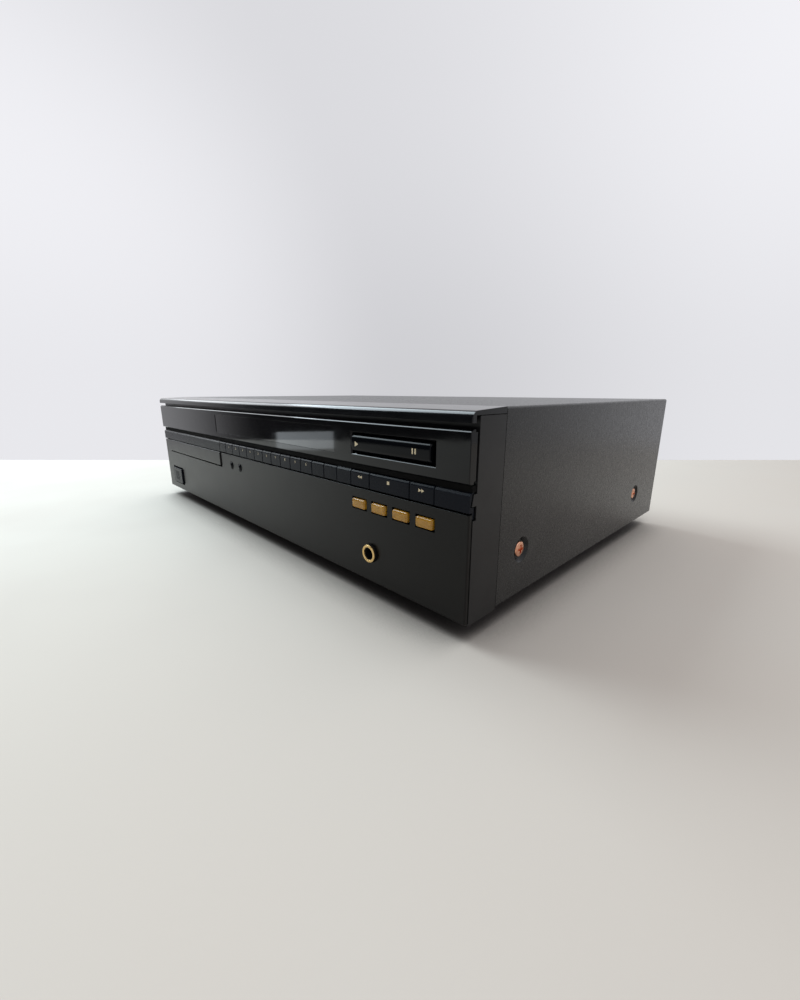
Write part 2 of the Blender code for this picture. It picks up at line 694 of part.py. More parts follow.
def make_cover():
    """The steel cover: top and sides with rolled corners, and four dimples for the screws."""
    shape = bmesh.new()
    size = Vector((WIDTH, DEPTH - COVER_START, BODY_HEIGHT - COVER_LIFT))
    middle = Vector((0, back((DEPTH + COVER_START) / 2), up((BODY_HEIGHT + COVER_LIFT) / 2)))
    bmesh.ops.create_cube(shape, size=1, matrix=Matrix.Translation(middle) @ Matrix.Diagonal(size).to_4x4())
    open_sides = [face for face in shape.faces
                  if abs(face.normal.y) > abs(face.normal.x) + abs(face.normal.z)]
    open_sides += [face for face in shape.faces if face.normal.z < -abs(face.normal.x) - abs(face.normal.y)]
    bmesh.ops.delete(shape, geom=open_sides, context="FACES")
    ridges = [edge for edge in shape.edges if len(edge.link_faces) == 2]
    bmesh.ops.bevel(shape, geom=ridges, offset=COVER_BEND, segments=3, profile=0.5, affect="EDGES")
    cover = new_object("top_cover", shape)
    thickness = cover.modifiers.new("sheet", "SOLIDIFY")
    thickness.thickness = SHEET
    thickness.offset = -1
    thickness.use_even_offset = True
    cup_radius = DIMPLE_RADIUS + SHEET
    cup_floor_radius = DIMPLE_FLOOR_RADIUS + SHEET
    cup_floor = HALF - DIMPLE_DEPTH - SHEET
    places = [(depth, SCREW_HEIGHT) for depth in SCREW_DEPTHS]
    for side, name in ((1, "right"), (-1, "left")):
        weld(cover, rods(f"dimple_cups_{name}", "X", places, (side * (HALF - SHEET / 2), side * cup_floor),
                         cup_radius, cup_floor_radius, FINE_SIDES))
        slope = (DIMPLE_RADIUS - DIMPLE_FLOOR_RADIUS) / DIMPLE_DEPTH
        carve(cover, rods(f"dimple_hollows_{name}", "X", places,
                          (side * (HALF + OVERRUN), side * (HALF - DIMPLE_DEPTH)),
                          DIMPLE_RADIUS + slope * OVERRUN, DIMPLE_FLOOR_RADIUS, FINE_SIDES))
        carve(cover, rods(f"dimple_holes_{name}", "X", places,
                          (side * (HALF + OVERRUN), side * (cup_floor - OVERRUN)), SCREW_HOLE_RADIUS))
    finish(cover, "textured_paint")


def make_screws():
    """Cross-recessed screws, one in each dimple."""
    number = 0
    head_low = HALF - DIMPLE_DEPTH + SEAT / 2
    head_top = head_low + SCREW_HEAD_HEIGHT
    for side in (1, -1):
        for depth in SCREW_DEPTHS:
            number += 1
            edge = head_top - SCREW_HEAD_HEIGHT / 2
            shoulder = (SCREW_HEAD_RADIUS + SCREW_SLOT_LENGTH / 2) / 2
            profile = [(0, head_top), (shoulder, head_top - SCREW_SLOT_DEPTH / 4), (SCREW_HEAD_RADIUS, edge),
                       (SCREW_HEAD_RADIUS, head_low), (SCREW_SHANK_RADIUS, head_low),
                       (SCREW_SHANK_RADIUS, head_low - SCREW_LENGTH), (0, head_low - SCREW_LENGTH)]
            axis = "X" if side > 0 else "-X"
            screw = turned(f"side_screw_{number}", axis, (depth, SCREW_HEIGHT), profile, SCREW_SIDES)
            reach = (side * (head_top - SCREW_SLOT_DEPTH), side * (head_top + OVERRUN))
            across = tuple(sorted(reach))
            slot = SCREW_SLOT / 2
            length = SCREW_SLOT_LENGTH / 2
            carve(screw, blocks(f"screw_slot_{number}", [
                (across, (depth - slot, depth + slot), (SCREW_HEIGHT - length, SCREW_HEIGHT + length))]))
            carve(screw, blocks(f"screw_cross_slot_{number}", [
                (across, (depth - length, depth + length), (SCREW_HEIGHT - slot, SCREW_HEIGHT + slot))]))
            finish(screw, "copper_metal")


def make_lower_panel():
    """The matt lower panel with its openings."""
    reach = HALF - END_GAP
    panel = blocks("lower_panel", [((-reach, reach), (0, PANEL_THICK), (0, PANEL_HEIGHT))])
    soften(panel, PANEL_BEVEL)
    through = (-OVERRUN, PANEL_THICK + OVERRUN)
    openings = [
        ((TRAY_FRONT_LEFT, TRAY_FRONT_RIGHT), through, (TRAY_SLOT_LOW, PANEL_HEIGHT + OVERRUN)),
        ((POWER_LEFT, POWER_RIGHT), through, (POWER_LOW, POWER_HIGH)),
    ]
    half_width, half_height = AMBER_HOLE_WIDTH / 2, AMBER_HOLE_HEIGHT / 2
    for place in amber_places():
        openings.append(((place - half_width, place + half_width), through,
                         (AMBER_MIDDLE - half_height, AMBER_MIDDLE + half_height)))
    carve(panel, blocks("panel_openings", openings))
    carve(panel, rods("panel_button_holes", "Y", [(place, ROUND_MIDDLE) for place in ROUND_PLACES],
                      through, ROUND_RADIUS + ROUND_GAP))
    carve(panel, rods("panel_jack_hole", "Y", [(JACK_X, JACK_MIDDLE)], through, JACK_RADIUS + SEAT))
    finish(panel, "panel_plastic")


def make_fascia():
    """The gloss fascia, with end returns, the window opening and the play/pause opening."""
    reach = HALF - END_GAP
    face_back = FASCIA_THICK - FASCIA_PROUD
    fascia = blocks("upper_fascia", [
        ((-reach, reach), (-FASCIA_PROUD, face_back), (FASCIA_LOW, FASCIA_HIGH))])
    soften(fascia, FASCIA_BEVEL, 2)
    low, high = FASCIA_LOW + FASCIA_BEVEL, FASCIA_HIGH - FASCIA_BEVEL
    inner = reach - FASCIA_RETURN_WALL
    weld(fascia, blocks("fascia_returns", [
        ((inner, reach - SINK), (face_back - FASCIA_BEVEL - SINK, FASCIA_RETURN), (low, high)),
        ((SINK - reach, -inner), (face_back - FASCIA_BEVEL - SINK, FASCIA_RETURN), (low, high)),
    ]))
    through = (-FASCIA_PROUD - OVERRUN, face_back + OVERRUN)
    carve(fascia, blocks("fascia_openings", [
        ((WINDOW_LEFT, WINDOW_RIGHT), through, (WINDOW_LOW, WINDOW_HIGH)),
        ((PLAY_LEFT, PLAY_RIGHT), through, (PLAY_LOW, PLAY_HIGH)),
    ]))
    finish(fascia, "gloss_plastic")
    start = WINDOW_INSET - FASCIA_PROUD
    window = blocks("display_window", [
        ((WINDOW_LEFT + SEAT, WINDOW_RIGHT - SEAT), (start, start + WINDOW_THICK),
         (WINDOW_LOW + SEAT, WINDOW_HIGH - SEAT)),
    ])
    finish(window, "smoked_window")


def make_play_pause_bar():
    """The rocker: a wide bar on a half-round bead, with a plunger near each end."""
    left, right = PLAY_LEFT + PLAY_SIDE_GAP, PLAY_RIGHT - PLAY_SIDE_GAP
    low, high = PLAY_LOW + PLAY_END_GAP, PLAY_HIGH - PLAY_END_GAP
    face_back = PLAY_THICK - PLAY_PROUD
    bar = blocks("play_pause_bar", [((left, right), (-PLAY_PROUD, face_back), (low, high))])
    soften(bar, PLAY_BEVEL, 2)
    half = PLUNGER_SIZE / 2
    plungers = []
    for side in (-1, 1):
        middle = PLAY_X + side * PLUNGER_REACH
        plungers.append(((middle - half, middle + half), (face_back - PLAY_BEVEL, STEM_END),
                         (PLAY_MIDDLE - half, PLAY_MIDDLE + half)))
    weld(bar, blocks("bar_plungers", plungers))
    bead_depth = FRAME_WALL_START - SEAT - PLAY_BEAD_RADIUS
    weld(bar, blocks("bar_web", [
        ((PLAY_X - PLAY_BEAD_RADIUS / 2, PLAY_X + PLAY_BEAD_RADIUS / 2), (face_back - SINK, bead_depth),
         (low + PLAY_BEVEL, high - PLAY_BEVEL))]))
    weld(bar, rods("bar_bead", "Z", [(PLAY_X, bead_depth)], (low + PLAY_BEVEL, high - PLAY_BEVEL),
                   PLAY_BEAD_RADIUS))
    pivot(bar, PLAY_X, bead_depth, PLAY_MIDDLE)
    finish(bar, "key_plastic")


def make_trim():
    """The top strip: a front lip with a rounded top edge, a sloping top and side skirts."""
    rise_centre = (TRIM_ROUND - FASCIA_PROUD, TRIM_FRONT_HIGH - TRIM_ROUND)
    outline = [(-FASCIA_PROUD, TRIM_LIP_LOW)]
    outline += arc(rise_centre, TRIM_ROUND, math.pi, math.pi / 2, TRIM_ROUND_POINTS)
    end = COVER_START - SEAT
    lip_back = TRIM_LIP_THICK - FASCIA_PROUD
    outline += [(end, BODY_HEIGHT), (end, TRIM_SKIRT_LOW), (lip_back, TRIM_SKIRT_LOW),
                (lip_back, TRIM_LIP_LOW)]
    trim = plate("top_trim", [outline], "X", (-HALF, HALF))
    corner = TRIM_CORNER * math.sqrt(2)
    for side, name in ((1, "right"), (-1, "left")):
        cutter = blocks(f"trim_corner_{name}", [
            ((-corner, corner), (-corner, corner), (TRIM_LIP_LOW - OVERRUN, BODY_HEIGHT + OVERRUN))])
        height = Matrix.Translation((0, -back(0), 0))
        place = Matrix.Translation((side * HALF, back(-FASCIA_PROUD) - TRIM_CORNER, 0))
        cutter.matrix_world = place @ Matrix.Rotation(math.pi / 4, 4, "Z") @ height
        carve(trim, cutter)
    finish(trim, "frame_plastic")


def make_front_frame():
    """The moulded frame: cheeks, base flange, inner wall and the rebate under the cover."""
    back_edge = COVER_START - SEAT
    side = [
        (FRAME_LOW_START, FRAME_BOTTOM), (back_edge, FRAME_BOTTOM), (back_edge, FRAME_TOP),
        (FRAME_WALL_START, FRAME_TOP), (FRAME_WALL_START, CHEEK_TAB_HIGH),
        (CHEEK_TAB_HIGH_DEPTH, CHEEK_TAB_HIGH), (CHEEK_TAB_LOW_DEPTH, CHEEK_NOTCH_HIGH),
        (CHEEK_NOTCH_DEPTH, CHEEK_NOTCH_HIGH), (CHEEK_NOTCH_DEPTH, CHEEK_NOTCH_LOW),
        (FRAME_LOW_START, CHEEK_NOTCH_LOW),
    ]
    frame = plate("front_frame", [side], "X", (-HALF, HALF))
    floor_top = FRAME_BOTTOM + FRAME_WALL
    between = (-CHEEK_INNER, CHEEK_INNER)
    carve(frame, blocks("frame_hollows", [
        (between, (FRAME_BACK, back_edge + OVERRUN), (floor_top, FRAME_TOP - FRAME_WALL)),
        (between, (-OVERRUN, FRAME_WALL_START), (floor_top + PANEL_RIB, FRAME_TOP + OVERRUN)),
    ]))
    step = HALF - SHEET - SEAT
    rebate = ((back_edge - FRAME_WALL, back_edge + REBATE_DEPTH), (REBATE_LOW, REBATE_HIGH))
    weld(frame, blocks("frame_rebates", [
        ((step - REBATE_THICK, step), *rebate), ((-step, REBATE_THICK - step), *rebate)]))
    half_sleeve = POWER_STEM / 2 + SEAT + SLEEVE_WALL
    weld(frame, blocks("power_sleeve", [
        ((POWER_X - half_sleeve, POWER_X + half_sleeve), (FRAME_BACK - SINK, FRAME_BACK + SLEEVE_LENGTH),
         (POWER_MIDDLE - half_sleeve, POWER_MIDDLE + half_sleeve))]))
    boss = BOSS_SIZE / 2
    boss_places = [(board_left() + BOSS_SIZE, BOARD_HIGH - BOSS_SIZE),
                   (BOARD_RIGHT - BOSS_SIZE, BOARD_LOW + BOSS_SIZE),
                   (BOARD_RIGHT - BOSS_SIZE, BOARD_TALL_HIGH - BOSS_SIZE)]
    weld(frame, blocks("board_bosses", [
        ((x - boss, x + boss), (FRAME_BACK - SINK, BOARD_START - SEAT), (h - boss, h + boss))
        for x, h in boss_places]))
    through = (FRAME_WALL_START - OVERRUN, FRAME_BACK + OVERRUN)
    stem = STEM_HEIGHT / 2 + SEAT
    plunger = PLUNGER_SIZE / 2 + 2 * SEAT
    small = STEM_WIDTH / 2 + SEAT
    first_amber, last_amber = amber_places()[0], amber_places()[-1]
    round_stem = ROUND_STEM_RADIUS + SEAT
    power_hole = POWER_STEM / 2 + SEAT
    openings = [
        ((TRAY_FRONT_LEFT - SEAT, TRAY_FRONT_RIGHT + SEAT), through, (TRAY_SLOT_LOW, KEY_LOW - SINK)),
        ((key_spans()[0][1] + STEM_WIDTH, key_spans()[-1][2] - STEM_WIDTH), through,
         (KEY_MIDDLE - stem, KEY_MIDDLE + stem)),
        ((first_amber - small, last_amber + small), through, (AMBER_MIDDLE - stem, AMBER_MIDDLE + stem)),
        ((WINDOW_LEFT + 2 * TUBE_RIM, WINDOW_RIGHT - 2 * TUBE_RIM), through, (WINDOW_LOW, WINDOW_HIGH)),
        ((POWER_X - power_hole, POWER_X + power_hole),
         (FRAME_WALL_START - OVERRUN, FRAME_BACK + SLEEVE_LENGTH + OVERRUN),
         (POWER_MIDDLE - power_hole, POWER_MIDDLE + power_hole)),
    ]
    for side in (-1, 1):
        middle = PLAY_X + side * PLUNGER_REACH
        openings.append(((middle - plunger, middle + plunger), through,
                         (PLAY_MIDDLE - plunger, PLAY_MIDDLE + plunger)))
    carve(frame, blocks("frame_openings", openings))
    carve(frame, rods("frame_button_holes", "Y", [(place, ROUND_MIDDLE) for place in ROUND_PLACES],
                      through, round_stem))
    carve(frame, rods("frame_jack_hole", "Y", [(JACK_X, JACK_MIDDLE)], through, JACK_RADIUS + SEAT))
    finish(frame, "frame_plastic")


def key_spans():
    """Each key of the row as (name, left edge, right edge), from left to right."""
    names = ["open_close_key"] + [f"number_key_{n}" for n in (1, 2, 3, 4, 5, 6, 7, 8, 9, 0)]
    names += ["program_key", "repeat_key"]
    start = KEY_ROW_END - STOP_KEY_WIDTH - 2 * SEARCH_KEY_WIDTH - (len(names) + 1) * KEY_PITCH
    spans = [(name, start + i * KEY_PITCH, start + (i + 1) * KEY_PITCH) for i, name in enumerate(names)]
    left = spans[-1][2] + KEY_PITCH
    for name, width in (("search_back_key", SEARCH_KEY_WIDTH), ("stop_key", STOP_KEY_WIDTH),
                        ("search_forward_key", SEARCH_KEY_WIDTH)):
        spans.append((name, left, left + width))
        left += width
    return spans


def board_left():
    return key_spans()[0][1] - BOARD_MARGIN_LEFT


def key_outline():
    """Depth and height of a key's side, with its sloped top front edge."""
    return [(0, KEY_LOW), (0, KEY_HIGH - KEY_CHAMFER_HEIGHT), (KEY_CHAMFER_DEPTH, KEY_HIGH),
            (KEY_THICK, KEY_HIGH), (KEY_THICK, KEY_LOW)]


def make_keys():
    """The push keys of the row, each a face with a stem through the frame's slot."""
    half = STEM_WIDTH / 2
    stem_half = STEM_HEIGHT / 2
    for name, left, right in key_spans():
        middle = (left + right) / 2
        key = plate(name, [key_outline()], "X", (left + KEY_LINE / 2, right - KEY_LINE / 2))
        weld(key, blocks(name + "_stem", [((middle - half, middle + half), (KEY_THICK - SINK, STEM_END),
                                           (KEY_MIDDLE - stem_half, KEY_MIDDLE + stem_half))]))
        pivot(key, middle, 0, KEY_MIDDLE)
        finish(key, "key_plastic")


def make_key_strip():
    """The rail above the keys, with its three fixed blanks and its hooked ends."""
    spans = key_spans()
    reach = HALF - END_GAP
    ledge = (KEY_HIGH + STRIP_RAIL_LOW) / 2
    section = [(0, KEY_LOW), (0, KEY_HIGH - KEY_CHAMFER_HEIGHT), (KEY_CHAMFER_DEPTH, KEY_HIGH),
               (STRIP_RAIL_START, KEY_HIGH), (STRIP_RAIL_START, STRIP_RAIL_HIGH),
               (STRIP_BACK, STRIP_RAIL_HIGH), (STRIP_BACK, ledge), (KEY_THICK, ledge), (KEY_THICK, KEY_LOW)]
    strip = plate("key_strip", [section], "X", (-reach, reach))
    line = KEY_LINE / 2
    under = KEY_LOW - OVERRUN
    through = (-OVERRUN, STRIP_BACK + OVERRUN)
    carve(strip, blocks("strip_windows", [
        ((spans[0][1] - line, spans[-4][2] + line), through, (under, STRIP_RAIL_LOW)),
        ((spans[-3][1] - line, spans[-1][2] + line), through, (under, STRIP_RAIL_LOW)),
    ]))
    clear = SEAT + SINK / 2
    notch_back = STRIP_BACK + OVERRUN
    notch = [(CHEEK_TAB_LOW_DEPTH - clear, CHEEK_NOTCH_HIGH - SEAT),
             (CHEEK_TAB_HIGH_DEPTH - clear, CHEEK_TAB_HIGH + SEAT), (notch_back, CHEEK_TAB_HIGH + SEAT),
             (notch_back, CHEEK_NOTCH_HIGH - SEAT)]
    cap = reach - FASCIA_RETURN_WALL
    carve(strip, plate("strip_notch_right", [notch], "X", (cap, reach + OVERRUN)))
    carve(strip, plate("strip_notch_left", [notch], "X", (-reach - OVERRUN, -cap)))
    hook = ((STRIP_HOOK_START, STRIP_BACK - SEAT), (STRIP_HOOK_LOW, CHEEK_NOTCH_HIGH - 2 * SEAT))
    weld(strip, blocks("strip_hooks", [
        ((cap - SINK, reach - SINK), *hook), ((SINK - reach, SINK - cap), *hook)]))
    finish(strip, "key_plastic")


def amber_places():
    last = HALF - AMBER_INSET_RIGHT
    return [last - i * AMBER_PITCH for i in reversed(range(AMBER_COUNT))]


def make_buttons():
    """Amber keys, round buttons and the power button."""
    half_width = AMBER_HOLE_WIDTH / 2 - AMBER_GAP
    half_height = AMBER_HOLE_HEIGHT / 2 - AMBER_GAP
    stem_half, stem_tall = STEM_WIDTH / 2, STEM_HEIGHT / 2
    for number, place in enumerate(amber_places(), 1):
        key = blocks(f"amber_key_{number}", [
            ((place - half_width, place + half_width), (-AMBER_PROUD, KEY_THICK),
             (AMBER_MIDDLE - half_height, AMBER_MIDDLE + half_height))])
        soften(key, AMBER_BEVEL)
        weld(key, blocks(f"amber_stem_{number}", [
            ((place - stem_half, place + stem_half), (KEY_THICK - AMBER_BEVEL - SINK, STEM_END),
             (AMBER_MIDDLE - stem_tall, AMBER_MIDDLE + stem_tall))]))
        pivot(key, place, 0, AMBER_MIDDLE)
        finish(key, "amber_plastic")
    for number, place in enumerate(ROUND_PLACES, 1):
        edge = ROUND_RADIUS - ROUND_GAP
        profile = [(0, STEM_END), (ROUND_STEM_RADIUS, STEM_END), (ROUND_STEM_RADIUS, KEY_THICK),
                   (ROUND_RADIUS, KEY_THICK), (ROUND_RADIUS, -ROUND_PROUD + ROUND_GAP), (edge, -ROUND_PROUD),
                   (0, -ROUND_PROUD)]
        button = turned(f"round_button_{number}", "Y", (place, ROUND_MIDDLE), profile)
        finish(button, "key_plastic")
    power = blocks("power_button", [
        ((POWER_LEFT + POWER_GAP, POWER_RIGHT - POWER_GAP), (-POWER_PROUD, KEY_THICK - KEY_TRAVEL),
         (POWER_LOW + POWER_GAP, POWER_HIGH - POWER_GAP))])
    soften(power, POWER_BEVEL)
    half = POWER_STEM / 2
    weld(power, blocks("power_stem", [
        ((POWER_X - half, POWER_X + half), (KEY_THICK - KEY_TRAVEL - POWER_BEVEL - SINK, POWER_STEM_END),
         (POWER_MIDDLE - half, POWER_MIDDLE + half))]))
    pivot(power, POWER_X, 0, POWER_MIDDLE)
    finish(power, "key_plastic")


def make_jack():
    """The headphone jack: a ringed barrel through the panel, and its body behind the frame."""
    barrel_end = FRAME_BACK + SEAT
    jack = rods("headphone_jack", "Y", [(JACK_X, JACK_MIDDLE)], (-JACK_PROUD, barrel_end + SINK),
                JACK_RADIUS, sides=FINE_SIDES)
    half = JACK_BODY_SIZE / 2
    weld(jack, blocks("jack_body", [
        ((JACK_X - half, JACK_X + half), (barrel_end, barrel_end + JACK_BODY_LENGTH),
         (JACK_MIDDLE - half, JACK_MIDDLE + half))]))
    carve(jack, rods("jack_bore", "Y", [(JACK_X, JACK_MIDDLE)], (-JACK_PROUD - OVERRUN, JACK_BORE_END),
                     JACK_BORE_RADIUS))
    finish(jack, "gold_metal")


def make_display_and_key_board():
    """The display tube, and the board behind the keys with a switch for each key."""
    start = FRAME_BACK + SEAT
    tube = blocks("display_tube", [
        ((WINDOW_LEFT + TUBE_RIM, WINDOW_RIGHT - TUBE_RIM), (start, start + TUBE_THICK),
         (WINDOW_LOW - TUBE_RIM / 2, WINDOW_HIGH + TUBE_RIM / 2))])
    finish(tube, "tube_glass")
    outline = [(BOARD_LOWER_LEFT, BOARD_LOW), (BOARD_RIGHT, BOARD_LOW), (BOARD_RIGHT, BOARD_TALL_HIGH),
               (BOARD_TALL_LEFT, BOARD_TALL_HIGH), (BOARD_TALL_LEFT, BOARD_HIGH), (board_left(), BOARD_HIGH),
               (board_left(), BOARD_MIDDLE), (BOARD_LOWER_LEFT, BOARD_MIDDLE)]
    board = plate("key_board", [outline], "Y", (BOARD_START, BOARD_START + BOARD_THICK))
    places = [((left + right) / 2, KEY_MIDDLE) for _, left, right in key_spans()]
    places += [(place, AMBER_MIDDLE) for place in amber_places()]
    places += [(place, ROUND_MIDDLE) for place in ROUND_PLACES]
    places += [(PLAY_X + side * PLUNGER_REACH, PLAY_MIDDLE) for side in (-1, 1)]
    half = SWITCH_SIZE / 2
    weld(board, blocks("key_switches", [
        ((x - half, x + half), (SWITCH_FRONT, BOARD_START + SINK), (h - half, h + half))
        for x, h in places]))
    finish(board, "board_laminate")


def involute(angle):
    return math.tan(angle) - angle


def tooth_half_angle(radius):
    """Half the angle that a pinion tooth spans at a radius, less its share of the backlash."""
    base = PITCH_RADIUS * math.cos(PRESSURE_ANGLE)
    pressure = math.acos(min(1, base / max(radius, base)))
    full = math.pi / (2 * PINION_TEETH) + involute(PRESSURE_ANGLE) - involute(pressure)
    return full - BACKLASH / (2 * PITCH_RADIUS)


def pinion_outline():
    """The pinion's teeth; one tooth points at the rack, along -X."""
    root = PITCH_RADIUS - MODULE * DEDENDUM_SHARE
    tip = PITCH_RADIUS + MODULE * ADDENDUM_SHARE
    radii = (root, PITCH_RADIUS, tip)
    points = []
    for tooth in range(PINION_TEETH):
        centre = math.pi + tooth * math.tau / PINION_TEETH
        flank = [(radius, centre - tooth_half_angle(radius)) for radius in radii]
        flank += [(radius, centre + tooth_half_angle(radius)) for radius in reversed(radii)]
        points += [(PINION_X + r * math.cos(a), PINION_DEPTH + r * math.sin(a)) for r, a in flank]
    return points


def rack_outline():
    """The rack's teeth, in mesh with the pinion while the tray is shut."""
    slope = math.tan(PRESSURE_ANGLE)
    half = TOOTH_PITCH / 4
    tip_half = half - MODULE * ADDENDUM_SHARE * slope
    root_half = half + MODULE * DEDENDUM_SHARE * slope
    tip_x = RACK_PITCH_X + MODULE * ADDENDUM_SHARE
    first = -int((PINION_DEPTH - LOADER_START) / TOOTH_PITCH / 2)
    last = int((TRAY_END - PINION_DEPTH) / TOOTH_PITCH - 1)
    points = [(TRAY_RIGHT - RACK_ROOT_WIDTH, PINION_DEPTH + first * TOOTH_PITCH)]
    for tooth in range(first, last):
        middle = PINION_DEPTH + (tooth + 0.5) * TOOTH_PITCH
        points += [(TRAY_RIGHT, middle - root_half), (tip_x, middle - tip_half), (tip_x, middle + tip_half),
                   (TRAY_RIGHT, middle + root_half)]
    points.append((TRAY_RIGHT - RACK_ROOT_WIDTH, PINION_DEPTH + last * TOOTH_PITCH))
    return points


def make_tray():
    """The disc tray with its wells, pickup slot and rack, and the tray's front."""
    start = TRAY_FRONT_BACK + SEAT
    tray = blocks("disc_tray", [((TRAY_LEFT, TRAY_RIGHT), (start, TRAY_END), (TRAY_LOW, TRAY_HIGH))])
    above = TRAY_HIGH + OVERRUN
    below = TRAY_LOW - OVERRUN
    weld(tray, plate("tray_rack", [rack_outline()], "Z", (RACK_LOW, RACK_HIGH)))
    carve(tray, rods("disc_well", "Z", [(DISC_X, DISC_DEPTH)], (DISC_WELL_FLOOR, above), DISC_WELL_RADIUS,
                     sides=WELL_SIDES))
    carve(tray, rods("small_disc_well", "Z", [(DISC_X, DISC_DEPTH)], (SMALL_WELL_FLOOR, above),
                     SMALL_WELL_RADIUS, sides=WELL_SIDES))
    radius = PICKUP_SLOT_RADIUS
    slot = arc((DISC_X, DISC_DEPTH), radius, math.pi, math.tau, FINE_SIDES // 2)
    slot += [(DISC_X + radius, TRAY_END + OVERRUN), (DISC_X - radius, TRAY_END + OVERRUN)]
    carve(tray, plate("pickup_slot", [slot], "Z", (below, above)))
    pivot(tray, DISC_X, DISC_DEPTH, TRAY_LOW)
    finish(tray, "loader_plastic")
    face = blocks("tray_front", [
        ((TRAY_FRONT_LEFT + TRAY_FRONT_GAP, TRAY_FRONT_RIGHT - TRAY_FRONT_GAP),
         (-TRAY_FRONT_PROUD, TRAY_FRONT_BACK), (TRAY_SLOT_LOW + TRAY_FRONT_GAP, PANEL_HEIGHT))])
    soften(face, PANEL_BEVEL)
    pivot(face, DISC_X, 0, TRAY_LOW)
    finish(face, "panel_plastic")


def make_drive():
    """Drive gear, motor, motor pulley and belt, all beside the tray."""
    groove_middle = (PULLEY_LOW + PULLEY_HIGH) / 2
    bore = PIN_RADIUS + PIN_GAP
    profile = [
        (bore, PINION_HIGH), (HUB_RADIUS, PINION_HIGH), (HUB_RADIUS, PULLEY_HIGH),
        (PULLEY_RADIUS, PULLEY_HIGH), (PULLEY_RADIUS - GROOVE, groove_middle), (PULLEY_RADIUS, PULLEY_LOW),
        (bore, PULLEY_LOW),
    ]
    gear = turned("drive_gear", "Z", (PINION_X, PINION_DEPTH), profile, FINE_SIDES)
    hole = arc((PINION_X, PINION_DEPTH), HUB_RADIUS - SINK, 0, math.tau, ROUND_SIDES + 1)[:-1]
    weld(gear, plate("pinion_teeth", [pinion_outline(), hole], "Z", (PINION_LOW, PINION_HIGH - SINK)))
    finish(gear, "gear_plastic")
    motor_top = BRACKET_LOW - SEAT
    motor = rods("loading_motor", "Z", [(MOTOR_X, PINION_DEPTH)], (motor_top - MOTOR_HEIGHT, motor_top),
                 MOTOR_RADIUS)
    bearing = MOTOR_SHAFT_RADIUS + PIN_GAP
    carve(motor, rods("motor_bearing", "Z", [(MOTOR_X, PINION_DEPTH)],
                      (motor_top - MOTOR_BEARING_DEPTH, motor_top + OVERRUN), bearing))
    finish(motor, "zinc_steel")
    small = MOTOR_PULLEY_RADIUS
    shaft_low = motor_top - MOTOR_BEARING_DEPTH + SEAT
    pulley_profile = [
        (0, PULLEY_HIGH), (small, PULLEY_HIGH), (small - GROOVE, groove_middle), (small, PULLEY_LOW),
        (MOTOR_SHAFT_RADIUS, PULLEY_LOW), (MOTOR_SHAFT_RADIUS, shaft_low), (0, shaft_low),
    ]
    pulley = turned("motor_pulley", "Z", (MOTOR_X, PINION_DEPTH), pulley_profile)
    finish(pulley, "gear_plastic")
    half = BELT_SIZE / 2
    belt = plate("drive_belt", [belt_outline(SEAT + BELT_SIZE), belt_outline(SEAT)], "Z",
                 (groove_middle - half, groove_middle + half))
    finish(belt, "belt_rubber")


def belt_outline(offset):
    """The loop round both pulleys' groove mouths, an offset outside them."""
    large, small = PULLEY_RADIUS + offset, MOTOR_PULLEY_RADIUS + offset
    lean = math.asin((large - small) / (MOTOR_X - PINION_X))
    quarter = math.pi / 2
    points = arc((PINION_X, PINION_DEPTH), large, quarter - lean, math.tau - quarter + lean, BELT_ARC_POINTS)
    points += arc((MOTOR_X, PINION_DEPTH), small, lean - quarter, quarter - lean, BELT_ARC_POINTS)
    return points


